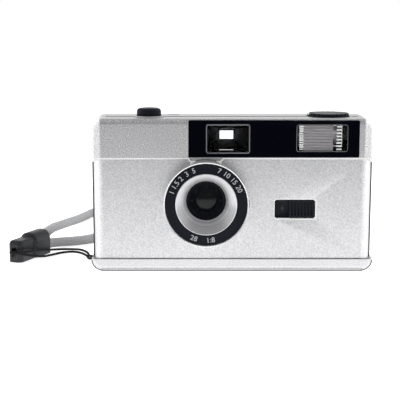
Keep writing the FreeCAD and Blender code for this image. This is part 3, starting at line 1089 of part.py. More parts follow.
def make_chassis():
    """Black moulding: decks, cartridge and take-up chambers, and the film plate."""
    back = "film_plane - 0.1"
    plate = block("film_plate", on_both("cell_side"), (f"{back} - 1.5", back),
                  ("chamber_floor - 1", "deck"))
    decks = [block("deck_top", on_both("cell_side"), ("spool_y - takeup_radius - chamber_wall", back),
                   ("chamber_top", "deck")),
             block("deck_low", on_both("cell_side"), ("spool_y - takeup_radius - chamber_wall", back),
                   ("chamber_floor - 1", "chamber_floor"))]
    whole = ("chamber_floor - 1", "deck")
    shell = rod("cartridge_shell", "z", ("knob_right", "cartridge_y"), whole,
                "cartridge_radius + chamber_wall")
    back_box = block("cartridge_back", ("knob_right - cartridge_radius - chamber_wall",
                                        "knob_right + cartridge_radius + chamber_wall"),
                     ("cartridge_y", back), whole)
    takeup = block("takeup_box", ("-cell_side", "-spool_left + takeup_radius + chamber_wall"),
                   ("spool_y - takeup_radius - chamber_wall", back), whole)
    shelf = block("sprocket_shelf", ("-sprocket_left - 5", "-sprocket_left + 5"),
                  ("sprocket_y - 4", back), ("chamber_floor + 2", "chamber_floor + 3"))
    bosses = [rod(f"screw_boss_{number + 1}", "z", (x, "screw_y"),
                  ("chamber_floor - 0.5", "screw_top + deck_thick"), "boss_radius")
              for number, x in enumerate(SCREW_PLACES)]
    solid = fuse("chassis_solid", plate, shell, back_box, takeup, shelf, *decks, *bosses)

    room = ("chamber_floor", "chamber_top")
    behind = "door_back + 2"
    cuts = [
        rod("cartridge_bore", "z", ("knob_right", "cartridge_y"), room, "cartridge_radius"),
        block("cartridge_way", ("knob_right - cartridge_radius", "knob_right + cartridge_radius"),
              ("cartridge_y", behind), room),
        block("cartridge_flat", ("knob_right - 14", "knob_right + 14"),
              ("hood_front - 4", "panel_inner + hole_gap"), whole),
        rod("takeup_bore", "z", ("-spool_left", "spool_y"), room, "takeup_radius"),
        block("takeup_way", ("-spool_left - takeup_radius", "-spool_left + takeup_radius"),
              ("spool_y", behind), room),
        block("gate_way", ("lens_x - gate_width / 2 - 3", "lens_x + gate_width / 2 + 3"),
              (f"{back} - 3", behind),
              ("lens_up - gate_height / 2 - 1.5", "lens_up + gate_height / 2 + 1.5")),
        rod("cell_way", "z", ("cell_right", "cell_y"), ("0", "chamber_floor + 1"), "cell_radius + 0.5"),
        block("back_trim", on_both("side"), (back, "door_back + 2"), ("0", "body_height")),
        block("tray_trim_left", ("-side", "-(side - 2 * shell_wall - seam_gap)"), ("hood_front", behind),
              ("0", "base_height - shelf_depth + 0.2")),
        block("tray_trim_right", ("side - 2 * shell_wall - seam_gap", "side"), ("hood_front", behind),
              ("0", "base_height - shelf_depth + 0.2")),
        block("finder_way", ("-finder_left + 0.4", "finder_right - 0.4"), ("hood_inner", f"{back} - 1.5"),
              ("chamber_top - 1", "deck + 1")),
        block("finder_step", ("-eye_left - 1.6", "eye_right + 1.6"), ("hood_inner", behind),
              ("deck - 0.3", "deck + 1")),
        block("lever_way", ("-button_left - 2", "-button_left + 3"), ("panel_inner", "button_y + 2.1"),
              ("chamber_top - 1", "deck + 1")),
        rod("spool_hole", "z", ("-spool_left", "spool_y"), ("chamber_top - 1", "deck + 1"),
            "spool_pin + running_gap"),
        rod("spool_foot_hole", "z", ("-spool_left", "spool_y"), ("0", "chamber_floor + 1"),
            "spool_pin + running_gap"),
        rod("rewind_shaft_hole", "z", ("knob_right", "cartridge_y"), ("chamber_top - 1", "deck + 1"),
            "shaft_radius + running_gap"),
        rod("sprocket_top_hole", "z", ("-sprocket_left", "sprocket_y"), ("chamber_top - 1", "deck + 1"),
            "sprocket_pin + running_gap"),
        rod("sprocket_low_hole", "z", ("-sprocket_left", "sprocket_y"),
            ("chamber_floor + 1.5", "chamber_floor + 4"),
            "sprocket_pin + running_gap"),
        rod("release_way", "z", ("-sprocket_left", "sprocket_y"), ("0", "chamber_floor + 0.5"), "3.1"),
        rod("counter_hole_deck", "z", ("-counter_left", "sprocket_y"), ("chamber_top - 1", "deck + 1"),
            "counter_pin + running_gap"),
    ]
    for number, x in enumerate(SCREW_PLACES):
        cuts.append(rod(f"screw_bore_{number + 1}", "z", (x, "screw_y"), ("0", "screw_top + 0.2"),
                        "screw_radius + cartridge_gap"))
    for name, side in (("low", "-1"), ("high", "1")):
        middle = f"lens_up + {side} * (film_width / 2 - 2)"
        cuts.append(block(f"tooth_way_{name}", ("-sprocket_left - sprocket_radius - tooth_height - 0.4",
                                                "-sprocket_left + sprocket_radius + tooth_height + 0.4"),
                          ("sprocket_y - sprocket_radius - tooth_height - 0.4", behind),
                          (f"{middle} - 1.6", f"{middle} + 1.6")))
    node(cut("chassis", solid, *cuts), "film_chassis")


def make_light_box():
    """Tapered black box behind the shutter, with the film gate and its rails."""
    centre = ("lens_x", "lens_up")
    flange_front = "film_plane - 1.6"
    outer = frustum("light_outer", centre, ("box_front", f"{flange_front} + 0.2"), ("7.5", "6.5"),
                    ("gate_width / 2 + 1", "gate_height / 2 + 1"))
    inner = frustum("light_inner", centre, ("box_front + 1", "film_plane + 0.1"), ("6.2", "5.2"),
                    ("gate_width / 2", "gate_height / 2"))
    hole = rod("light_hole", "y", centre, ("box_front - 1", "box_front + 2"), "shutter_hole + 0.4")
    gate = ("lens_x - gate_width / 2", "lens_x + gate_width / 2")
    flange = block("gate_plate",
                   ("lens_x - gate_width / 2 - gate_flange", "lens_x + gate_width / 2 + gate_flange"),
                   (flange_front, "film_plane - 0.35"),
                   ("lens_up - gate_height / 2 - 1.4", "lens_up + gate_height / 2 + 1.4"))
    rails = [block(f"gate_rail_{name}", gate, ("film_plane - 0.4", "film_plane - 0.1"), heights) for name,
             heights in
             (("low", ("lens_up - gate_height / 2 - 1.2", "lens_up - gate_height / 2 - 0.4")),
              ("high", ("lens_up + gate_height / 2 + 0.4", "lens_up + gate_height / 2 + 1.2")))]
    node(cut("light_box_cut", fuse("light_box_fuse", outer, flange, *rails), inner, hole), "light_box")


def make_transport():
    """Take-up spool, advance wheel, sprocket, counter dial and counter window."""
    axis = ("-spool_left", "spool_y")
    core = rod("spool_core", "z", axis, ("chamber_floor + 0.4", "chamber_top - 0.4"), "spool_radius")
    flanges = [rod(f"spool_flange_{name}", "z", axis, span, "spool_radius + flange_stand") for name, span in
               (("low", ("lens_up - film_width / 2 - 1.6", "lens_up - film_width / 2 - 0.8")),
                ("high", ("lens_up + film_width / 2 + 0.8", "lens_up + film_width / 2 + 1.6")))]
    ends = [rod("spool_top", "z", axis, ("chamber_top - 0.5", "wheel_low + 0.5"), "spool_pin"),
            rod("spool_foot", "z", axis, ("chamber_floor - 0.9", "chamber_floor + 0.5"), "spool_pin")]
    slot = block("spool_slot", ("-spool_left - 0.4", "-spool_left + 0.4"),
                 ("spool_y + 1", "spool_y + spool_radius + 1"), ("lens_up - 9", "lens_up + 9"))
    node(cut("spool", fuse("spool_fuse", core, *flanges, *ends), slot), "take_up_spool")

    owner = body("advance_wheel", *axis, "0")
    rim = ("wheel_low", "wheel_low + wheel_thick")
    add(owner, "wheel_disc", "XY", rim, lambda s: draw_circle(s, ("0", "0"), "wheel_radius"))
    notch = remove(owner, "wheel_notch", "XY", ("wheel_low - 1", "wheel_low + wheel_thick + 1"),
                   lambda s: draw_box(s, ("-0.45", "0.45"), ("wheel_radius - 0.55", "wheel_radius + 1")))
    repeat(owner, "PolarPattern", "wheel_notches", notch, "Z", count="wheel_ribs")
    remove(owner, "wheel_bore", "XY", ("wheel_low - 1", "wheel_low + 0.55"),
           lambda s: draw_circle(s, ("0", "0"), "spool_pin + 0.03"))
    for name, side in (("low", "-1"), ("high", "1")):
        middle = f"lens_up + {side} * (film_width / 2 - 2)"
        make_sprocket_row(name, middle)
    make_sprocket()

    axis = ("-counter_left", "sprocket_y")
    dial = rod("counter_disc", "z", axis, ("hood_ceiling - 1.4", "hood_ceiling - 0.6"), "counter_radius")
    shaft = rod("counter_shaft", "z", axis, ("deck - 0.7", "hood_ceiling - 1.3"), "counter_pin")
    shoulder = rod("counter_shoulder", "z", axis, ("deck + 0.1", "deck + 1"), "counter_pin + 1.6")
    node(fuse("counter", dial, shaft, shoulder), "counter_dial")
    lens = rod("counter_pane", "z", COUNTER_VIEW, ("hood_ceiling - 0.3", "body_height"), "pane_radius")
    lip = rod("counter_lip", "z", COUNTER_VIEW, ("hood_ceiling - 0.35", "hood_ceiling - rest_gap"),
              "pane_radius + 0.66")
    node(fuse("counter_glass", lens, lip), "counter_window")


SPROCKET_ROWS = []


def make_sprocket_row(name, middle):
    """One toothed rim of the sprocket: a disc and one tooth repeated round it."""
    axis = ("-sprocket_left", "sprocket_y")
    SPROCKET_ROWS.append(rod("sprocket_rim_" + name, "z", axis, (f"{middle} - 1.2", f"{middle} + 1.2"),
                             "sprocket_radius"))
    for number in range(round(value("sprocket_teeth"))):
        tooth = doc.addObject("Part::Cone", f"tooth_{name}_{number + 1}")
        angle = math.radians((number + 0.5) * 360 / value("sprocket_teeth"))
        way = Vector(math.cos(angle), math.sin(angle), 0)
        tooth.Placement = Placement(Vector(), Rotation(Vector(0, 0, 1), way))
        tooth.setExpression("Radius1", "0.9")
        tooth.setExpression("Radius2", "0.45")
        tooth.setExpression("Height", bound("tooth_height + 0.3"))
        reach = "(sprocket_radius - 0.3)"
        move_to(tooth, f"{axis[0]} + {reach} * {way.x:.6f}", f"{axis[1]} + {reach} * {way.y:.6f}", middle)
        SPROCKET_ROWS.append(tooth)


def make_sprocket():
    axis = ("-sprocket_left", "sprocket_y")
    barrel = rod("sprocket_barrel", "z", axis,
                 ("lens_up - film_width / 2 + 2", "lens_up + film_width / 2 - 2"), "sprocket_core")
    shaft = rod("sprocket_shaft", "z", axis, ("chamber_floor + 2.1", "deck - 0.1"), "sprocket_pin")
    node(fuse("sprocket_fuse", barrel, shaft, *SPROCKET_ROWS), "sprocket")


def make_rewind():
    """Dish, shaft with its fork, clip, knob and folding crank."""
    owner = body("rewind_seat", "knob_right", "cartridge_y", "0")
    wall = "knob_radius + loose_gap"
    floor = "knob_low - loose_gap"
    revolve(owner, "seat_turning", "XZ", [
        ("shaft_radius + running_gap", f"{floor} - 2 * seat_wall"),
        ("seat_radius", f"{floor} - 2 * seat_wall"),
        ("seat_radius", "body_height + rest_gap"), (wall, "body_height + rest_gap"), (wall, floor),
        ("shaft_radius + running_gap", floor)])
    axis = ("knob_right", "cartridge_y")
    shaft = rod("shaft_rod", "z", axis, ("chamber_top - 5", "knob_low + 0.5"), "shaft_radius")
    groove = cut("clip_groove",
                 rod("clip_groove_outer", "z", axis, ("deck + 0.85", "deck + 1.55"), "shaft_radius + 1"),
                 rod("clip_groove_inner", "z", axis, ("deck + 0.5", "deck + 2"), "shaft_radius - 0.5"))
    slots = [block("fork_slot_x", ("knob_right - 4", "knob_right + 4"),
                   ("cartridge_y - 0.8", "cartridge_y + 0.8"),
                   ("chamber_top - 6", "chamber_top - 2")),
             rod("fork_bore", "z", axis, ("chamber_top - 6", "chamber_top - 2"), "1.3")]
    node(cut("shaft", shaft, groove, *slots), "rewind_shaft")
    ring = rod("clip_ring", "z", axis, ("deck + 0.95", "deck + 1.45"), "shaft_radius + 1.1")
    eye = rod("clip_eye", "z", axis, ("deck + 0.5", "deck + 2"), "shaft_radius - 0.5 + running_gap")
    mouth = block("clip_mouth", ("knob_right - 1.2", "knob_right + 1.2"),
                  ("cartridge_y + 1", "cartridge_y + 6"),
                  ("deck + 0.5", "deck + 2"))
    node(cut("clip", ring, eye, mouth), "rewind_clip")

    owner = body("rewind_knob", "knob_right", "cartridge_y", "0")
    add(owner, "knob_disc", "XY", ("knob_low", "knob_top"),
        lambda s: draw_circle(s, ("0", "0"), "knob_radius"))
    notch = remove(owner, "knob_notch", "XY", ("body_height - 0.4", "knob_top + 1"),
                   lambda s: draw_box(s, ("-0.35", "0.35"), ("knob_radius - 0.4", "knob_radius + 1")))
    repeat(owner, "PolarPattern", "knob_notch_row", notch, "Z", count="knob_notches")
    remove(owner, "knob_bore", "XY", ("knob_low - 1", "knob_low + 0.55"),
           lambda s: draw_circle(s, ("0", "0"), "shaft_radius + 0.03"))
    half = "crank_width / 2 + 0.15"
    remove(owner, "crank_slot", "XY", ("knob_top - crank_thick - 0.15", "knob_top + 1"),
           lambda s: draw_box(s, ("-knob_radius - 1", "knob_radius + 1"), (f"-({half})", half)))
    remove(owner, "grip_pocket", "XY", ("knob_low + 0.7", "knob_top"),
           lambda s: draw_circle(s, (CRANK_GRIP, "0"), "grip_radius + 0.3"))
    remove(owner, "crank_pin_bore", "YZ", (f"{CRANK_PIN} - 0.9", f"{CRANK_PIN} + 0.9"),
           lambda s: draw_box(s, ("-4.2", "4.2"), ("knob_top - crank_thick - 0.55", "knob_top + 0.5")))

    owner = body("crank_lever", "knob_right", "cartridge_y", "0")
    low = "knob_top - crank_thick"
    add(owner, "lever_plate", "XY", (low, "knob_top"),
        lambda s: draw_box(s, (CRANK_PIN, "knob_radius - 0.5"), ("-crank_width / 2", "crank_width / 2")))
    tips = [{"x": "knob_radius - 0.5", "y": y} for y in on_both("crank_width / 2")]
    dress(owner, "Fillet", "lever_tip", "2", "z", *tips)
    add(owner, "crank_grip", "XY", ("knob_low + 0.9", f"{low} + 0.1"),
        lambda s: draw_circle(s, (CRANK_GRIP, "0"), "grip_radius"))
    add(owner, "crank_pivot", "XZ", ("-3.6", "3.6"),
        lambda s: draw_circle(s, (CRANK_PIN, f"{low} + 0.4"), "0.4"))


CRANK_PIN = "-knob_radius + crank_inset"
CRANK_GRIP = "knob_radius - grip_inset"


def make_door_parts():
    """Pressure plate and its spring, film window, hinge pin and latch."""
    owner = body("pressure_plate")
    plate = ("film_plane + 0.15", "film_plane + 0.65")
    add(owner, "plate", "XZ", plate,
        lambda s: draw_box(s, ("lens_x - gate_width / 2 - 1.5", "lens_x + gate_width / 2 + 5"),
                           ("lens_up - film_width / 2 + 3.5", "lens_up + film_width / 2 - 3.5")))
    edge = "film_plane + 0.67"
    leaf = [block("leaf_foot", ("lens_x - 4", "lens_x + 4"), ("door_inner - 0.3", "door_inner - 0.02"),
                  ("lens_up - 3", "lens_up + 3"))]
    for name, side in (("left", "-1"), ("right", "1")):
        for part, near, far, span in (("rise", 3.8, 4.1, (edge, "door_inner - 0.02")),
                                      ("arm", 3.8, 14, (edge, f"{edge} + 0.3"))):
            ends = sorted((float(side) * near, float(side) * far))
            leaf.append(block(f"leaf_{part}_{name}", (f"lens_x + {ends[0]}", f"lens_x + {ends[1]}"), span,
                              ("lens_up - 3", "lens_up + 3")))
    node(fuse("leaf", *leaf), "pressure_spring")

    pane = block("pane", ("knob_right - view_half + fit_gap", "knob_right + view_half - fit_gap"),
                 ("door_inner - fit_gap", "door_back - 0.2"),
                 ("lens_up - view_tall + fit_gap", "lens_up + view_tall - fit_gap"))
    lip = block("pane_lip", ("knob_right - view_half - 1", "knob_right + view_half + 1"),
                ("door_inner - 0.35", "door_inner - rest_gap"),
                ("lens_up - view_tall - 1", "lens_up + view_tall + 1"))
    node(fuse("pane_fuse", pane, lip), "film_window")
    node(rod("pin", "z", ("hinge_x", "hinge_y"), ("base_height + 0.4", "door_top"), "pin_radius"),
         "hinge_pin")

    owner = body("door_latch")
    wall = "rear_side - panel_wall"
    add(owner, "latch_plate", "YZ", ("rear_side + fit_gap", "side - fit_gap"),
        lambda s: draw_box(s, ("latch_front", "latch_front + latch_wide"), ("latch_low", "latch_high")))
    add(owner, "latch_key", "YZ", (f"{wall} - rest_gap", "rear_side + hole_gap"),
        lambda s: draw_box(s, *LATCH_KEY))
    groove = remove(owner, "latch_groove", "YZ", ("side - 0.35", "side + beyond"),
                    lambda s: draw_box(s, ("latch_front + 0.8", "latch_front + latch_wide - 0.8"),
                                       ("latch_low + 1.4", "latch_low + 2.2")))
    repeat(owner, "LinearPattern", "latch_grooves", groove, "Z", length="latch_tall - 3.4",
           count="latch_lines")


# Power, fasteners and controls under the camera

def make_power():
    """AAA cell, its top contact, the door under it and the door's spring leaf."""
    axis = ("cell_right", "cell_y")
    low = "shell_wall + cell_lift"
    can = rod("cell_can", "z", axis, (low, f"{low} + cell_length - 1"), "cell_radius")
    button = rod("cell_tip", "z", axis, (f"{low} + cell_length - 1.1", f"{low} + cell_length"),
                 "tip_radius")
    node(fuse("cell", can, button), "battery")
    top = f"{low} + cell_length"
    plate = block("contact_plate", ("cell_right - 4", "cell_right + 4"), ("cell_y - 3", "cell_y + 3"),
                  (f"{top} + 0.05", f"{top} + 0.4"))
    stem = block("contact_stem", ("cell_right - 3", "cell_right + 3"), ("cell_y + 2.6", "cell_y + 3"),
                 (f"{top} + 0.1", "chamber_top - 0.02"))
    node(fuse("contact", plate, stem), "battery_contact")

    owner = body("battery_door")
    half = "cell_radius + door_side"
    add(owner, "cell_door", "XY", ("0.1", "shell_wall - 0.05"),
        lambda s: draw_box(s, (f"cell_right - ({half})", f"cell_right + {half}"),
                           (f"cell_y - ({half}) + 0.7", f"cell_y + {half}")))
    add(owner, "door_knuckle", "YZ", (f"cell_right - ({half})", f"cell_right + {half}"),
        lambda s: draw_circle(s, (DOOR_AXIS_Y, DOOR_AXIS_Z), "0.5"))
    remove(owner, "nail_groove", "XY", ("-1", "0.45"),
           lambda s: draw_box(s, ("cell_right - 3", "cell_right + 3"), ("cell_y + 4", "cell_y + 4.9")))
    leaf = block("spring_leaf", ("cell_right - 3", "cell_right + 3"), ("cell_y - 3.4", "cell_y + 3.4"),
                 ("shell_wall - 0.03", "shell_wall + 0.25"))
    bump = doc.addObject("Part::Cone", "spring_bump")
    bump.setExpression("Radius1", "2.6")
    bump.setExpression("Radius2", "1.2")
    bump.setExpression("Height", bound("cell_lift - 0.3"))
    move_to(bump, "cell_right", "cell_y", "shell_wall + 0.2")
    node(fuse("spring_fuse", leaf, bump), "battery_spring")


DOOR_AXIS_Y = "cell_y - cell_radius - 0.6"
DOOR_AXIS_Z = "0.65"


def make_small_parts():
    """Case screws, rewind release button and the strap lug."""
    screws = []
    for number, x in enumerate(SCREW_PLACES):
        head = rod(f"head_{number + 1}", "z", (x, "screw_y"), ("0.12", "head_depth"), "screw_head")
        shank = rod(f"shank_{number + 1}", "z", (x, "screw_y"), ("head_depth - 0.1", "screw_top"),
                    "screw_radius")
        slots = [block(f"cross_{number + 1}_{way}", (f"{x} - {a}", f"{x} + {a}"),
                       (f"screw_y - {b}", f"screw_y + {b}"),
                       ("0", "cross_deep")) for way, a,
                 b in (("x", "cross_long", "cross_wide"), ("y", "cross_wide", "cross_long"))]
        screws.append(cut(f"screw_{number + 1}", fuse(f"screw_blank_{number + 1}", head, shank), *slots))
    node(fuse("screws", *screws), "case_screws")

    axis = ("-sprocket_left", "sprocket_y")
    node(fuse("release", rod("release_cap", "z", axis, ("0.2", "1.4"), "release_radius"),
              rod("release_flange", "z", axis, ("1.26", "1.75"), "2.9"),
              rod("release_pin", "z", axis, ("1.7", "3.3"), "1")), "rewind_release")
    node(rod("lug_bar", "y", ("lug_x", "lug_high"), ("panel_front + 3", "panel_front + 7.2"), "lug_radius"),
         "strap_lug")


# Wrist strap

def smooth_tube(label, points, radius):
    """Round tube on straight runs joined by the largest tangent arcs that they allow."""
    places = [Vector(*point) for point in points]
    edges = []
    radii = []
    start = places[0]
    for before, corner, after in zip(places, places[1:], places[2:]):
        into = (corner - before).normalize()
        out = (after - corner).normalize()
        turn = into.getAngle(out)
        reach = 0.45 * min(before.distanceToPoint(corner), corner.distanceToPoint(after))
        first = corner - into * reach
        last = corner + out * reach
        bend = reach / math.tan(turn / 2)
        middle = corner + (out - into).normalize() * (bend / math.cos(turn / 2) - bend)
        edges.append(Part.LineSegment(start, first).toShape())
        edges.append(Part.Arc(first, middle, last).toShape())
        radii.append(bend)
        start = last
    edges.append(Part.LineSegment(start, places[-1]).toShape())
    path = Part.Wire(edges)
    section = Part.Wire(Part.Circle(places[0], places[1] - places[0], radius).toShape())
    shape = path.makePipeShell([section], True, False)
    made = doc.addObject("Part::Feature", label + "_tube")
    made.Shape = shape
    made.Placement = Placement()
    node(made, label)
    share = shape.Volume / (math.pi * radius ** 2 * path.Length)
    print(label, f"length {path.Length:.1f} mm, volume share {share:.4f},",
          "arc radii", " ".join(f"{bend:.1f}" for bend in radii))


CORD_ROUTE = [
    (-82.6, 25.2, 3.0), (-80.8, 29.65, 3.0), (-76.9, 34.0, 2.6), (-70.9, 38.1, 2.2), (-62.4, 43.6, 2.15),
    (-58.4, 53.0, 2.15), (-57.6, 66.0, 2.15), (-58.2, 80.0, 2.15), (-58.1, 94.0, 2.15),
    (-57.6, 106.0, 2.15),
    (-59.8, 114.0, 2.15), (-65.2, 117.0, 2.15), (-69.8, 112.4, 2.2), (-71.7, 102.5, 2.3),
    (-74.4, 88.5, 2.9),
    (-77.0, 75.5, 4.0), (-79.2, 60.0, 5.4), (-80.6, 46.5, 6.9), (-80.9, 36.5, 7.7), (-81.1, 28.9, 8.0),
    (-82.6, 25.2, 8.0),
]
UPPER_STRING = [
    (-57.15, -3.4, 4.5), (-58.1, -3.1, 4.5), (-59.0, -0.7, 4.35), (-60.3, 6.5, 3.9), (-62.6, 14.0, 3.0),
    (-65.2, 21.6, 1.9), (-68.4, 26.0, 1.1), (-72.8, 27.4, 0.8), (-76.6, 25.0, 1.2), (-79.3, 18.6, 2.4),
    (-81.4, 11.8, 3.8), (-83.2, 5.6, 4.8), (-85.2, 1.0, 5.3), (-88.2, -0.9, 5.3), (-91.2, -0.4, 5.1),
    (-92.4, 2.4, 4.9), (-90.95, 6.0, 4.8),
]
LOWER_STRING = [
    (-57.15, -5.2, 4.1), (-58.1, -4.9, 3.9), (-58.9, -2.8, 3.3), (-60.3, 2.2, 2.4), (-62.4, 10.4, 1.3),
    (-65.2, 17.4, 0.8), (-69.0, 21.0, 0.7), (-73.2, 20.2, 0.7), (-77.0, 16.0, 0.8), (-79.2, 10.2, 1.4),
    (-81.2, 5.0, 2.6), (-83.9, 2.2, 3.6), (-86.9, 1.2, 4.3), (-89.7, 0.9, 4.7), (-91.15, 2.6, 4.8),
    (-89.85, 5.8, 4.8),
]


def make_strap():
    """Cord slider and tip along the heading, then the cord and the two string strands."""
    heading = value("strap_heading")

    def along_cord(label):
        owner = body(label, *(str(place) for place in CORD_ROUTE[0][:2]))
        owner.Placement = Placement(owner.Placement.Base, Rotation(Vector(0, 0, 1), heading))
        return owner

    owner = along_cord("cord_slider")
    half = "slider_wide / 2"
    add(owner, "slider_block", "YZ", ("-slider_long", "-0.05"),
        lambda s: draw_arch(s, (f"-({half})", half), ("0.1", "slider_tall"), "slider_wide / 2 - 0.6"))
    ends = [{"x": "-slider_long", "y": y} for y in on_both(half)]
    dress(owner, "Chamfer", "slider_taper", "1.4", "z", *ends)
    owner = along_cord("strap_tip")
    half = "tip_wide / 2"
    span = ("-slider_long - tip_long", "-slider_long - 0.08")
    add(owner, "tip_block", "YZ", span,
        lambda s: draw_arch(s, (f"-({half})", half), ("0.1", "tip_tall"), "1.6"))
    ends = [{"x": span[0], "y": y} for y in on_both(half)]
    dress(owner, "Fillet", "tip_nose", "2.2", "z", *ends)
    remove(owner, "tip_eyelet", "YZ", (f"{span[0]} - 1", f"{span[0]} + 4"),
           lambda s: draw_circle(s, ("0", "4.8"), "1.3"))

    smooth_tube("strap_cord", CORD_ROUTE, value("strap_radius"))
    smooth_tube("string_upper", UPPER_STRING, value("string_radius"))
    smooth_tube("string_lower", LOWER_STRING, value("string_radius"))


def write_parts():
    doc.recompute()
    for item in doc.Objects:
        if any(word in item.State for word in ("Invalid", "Error")):
            raise RuntimeError("not made: " + item.Label + " " + str(item.State))
    os.makedirs("parts", exist_ok=True)
    for label, item in NODES.items():
        shape = item.Shape
        if shape.isNull() or not shape.isValid():
            raise RuntimeError("bad shape: " + label)
        shape.exportStep(f"parts/{label}.step")
    print(len(NODES), "nodes written")


fill_sheet()
make_top_cover()
make_rear_shell()
make_front_panel()
make_bottom_cover()
make_back_door()
make_window_panel()
make_finder()
make_flash()
make_flash_switch()
make_lens()
make_shutter()
make_chassis()
make_light_box()
make_transport()
make_rewind()
make_door_parts()
make_power()
make_small_parts()
make_strap()
write_parts()
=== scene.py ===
# %% [markdown]
# The film camera's looks. The construction comes packed, as fixed nodes in metres: X to the right,
# Y away from the lens side, Z up, with the origin under the middle of the camera. This script gives
# each node its finish, adds the fine trim that is only skin deep, and lays the wrist strap as curves.

# %% Load the frame
import json
import math
import bmesh
import bpy
from mathutils import Matrix, Vector


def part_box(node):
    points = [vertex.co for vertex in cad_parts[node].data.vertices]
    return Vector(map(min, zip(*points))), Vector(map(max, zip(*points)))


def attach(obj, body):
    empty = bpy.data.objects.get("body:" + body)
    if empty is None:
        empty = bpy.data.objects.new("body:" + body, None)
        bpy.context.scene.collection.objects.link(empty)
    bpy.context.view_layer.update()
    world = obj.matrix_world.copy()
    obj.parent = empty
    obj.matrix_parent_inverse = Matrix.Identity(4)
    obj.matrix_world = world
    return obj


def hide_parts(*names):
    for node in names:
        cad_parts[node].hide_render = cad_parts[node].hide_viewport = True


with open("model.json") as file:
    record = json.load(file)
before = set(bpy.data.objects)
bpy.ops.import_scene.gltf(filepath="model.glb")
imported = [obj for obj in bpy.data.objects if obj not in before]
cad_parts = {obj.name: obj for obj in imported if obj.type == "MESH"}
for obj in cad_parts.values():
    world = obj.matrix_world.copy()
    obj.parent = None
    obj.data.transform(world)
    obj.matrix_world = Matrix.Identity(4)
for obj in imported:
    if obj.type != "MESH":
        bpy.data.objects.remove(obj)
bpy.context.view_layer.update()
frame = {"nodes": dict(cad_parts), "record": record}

MM = 0.001
NODES = frame["nodes"]
scene = bpy.context.scene
print("nodes", len(NODES))

# %% [markdown]
# The view. The photograph was taken from a little above, from the front, with a long lens. Its camera
# was found by fitting the edges of hood, base, lens ring and seam, so the render lands on the same
# pixels.

# %% Camera
VIEW_PLACE = Vector((-12.91, -401.6, 94.44)) * MM
VIEW_PITCH = math.radians(9.468)
VIEW_LENS = 88.97
SENSOR_WIDTH = 36
NEAREST_SEEN = 0.01


def make_camera():
    data = bpy.data.cameras.new("studio_camera")
    data.lens = VIEW_LENS
    data.sensor_width = SENSOR_WIDTH
    data.clip_start = NEAREST_SEEN
    camera = bpy.data.objects.new("studio_camera", data)
    camera.location = VIEW_PLACE
    camera.rotation_euler = (math.pi / 2 - VIEW_PITCH, 0, 0)
    scene.collection.objects.link(camera)
    scene.camera = camera


make_camera()
print("camera at", tuple(round(value, 4) for value in VIEW_PLACE))

# %% [markdown]
# Helpers for shader nodes. A material is a net of small nodes with sockets. Written out one by one, such
# a net fills pages. These functions add a node, feed its sockets with plain numbers or with what another
# node gives out, and hand back the result, so that a net below reads like a formula.

# %% Node helpers
def link(tree, source, target):
    tree.links.new(source, target)


def node_of(tree, kind, **settings):
    made = tree.nodes.new(kind)
    for name, value in settings.items():
        setattr(made, name, value)
    return made


def feed(tree, socket, source):
    """Give a socket what another node gives out, or a plain value."""
    if isinstance(source, bpy.types.NodeSocket):
        link(tree, source, socket)
    else:
        socket.default_value = source


def maths(tree, operation, *sources):
    made = node_of(tree, "ShaderNodeMath", operation=operation)
    for socket, source in zip(made.inputs, sources):
        feed(tree, socket, source)
    return made.outputs[0]


def ramp_of(tree, source, low, high, first, last, kind="SMOOTHSTEP"):
    """One level below a value of the source, another above a second value."""
    ramp = node_of(tree, "ShaderNodeMapRange", interpolation_type=kind)
    levels = {"Value": source, "From Min": low, "From Max": high, "To Min": first, "To Max": last}
    for label, level in levels.items():
        feed(tree, ramp.inputs[label], level)
    return ramp.outputs["Result"]


def chosen(tree, switch, when_off, when_on):
    """One level or another, by a switch of nought or one."""
    return ramp_of(tree, switch, 0.0, 1.0, when_off, when_on, "LINEAR")


def split_of(tree, kind):
    """X, Y and Z of one of the coordinates that a texture can follow."""
    split = node_of(tree, "ShaderNodeSeparateXYZ")
    link(tree, node_of(tree, "ShaderNodeTexCoord").outputs[kind], split.inputs[0])
    return split.outputs


def seen_straight(tree, rays):
    """One where the lens looks, also through the clear windows, and nought elsewhere."""
    return maths(tree, "MAXIMUM", rays["Is Camera Ray"], rays["Is Transmission Ray"])


# %% [markdown]
# The floor. The real camera stood on a white sweep of card. A plain white floor would look grey in
# some places, and metal would mirror it evenly. This one glows a little where the lens looks, so it
# stays white and still takes a soft shadow, and what metal mirrors of it is bright near the camera and
# darker farther away, which gives the silver its soft falls of light.

# %% Floor
FLOOR_SIZE = 6.0
FLOOR_GAP = 0.05 * MM
FLOOR_PAINT = (0.82, 0.82, 0.82, 1)
FLOOR_GLOW = 0.62
MIRROR_NEAR, MIRROR_FAR, MIRROR_BEHIND = 1.45, 0.25, 0.58
NEAR_TO_FAR = (-0.50, -0.04)
FRONT_TO_BEHIND = (-0.02, 0.03)


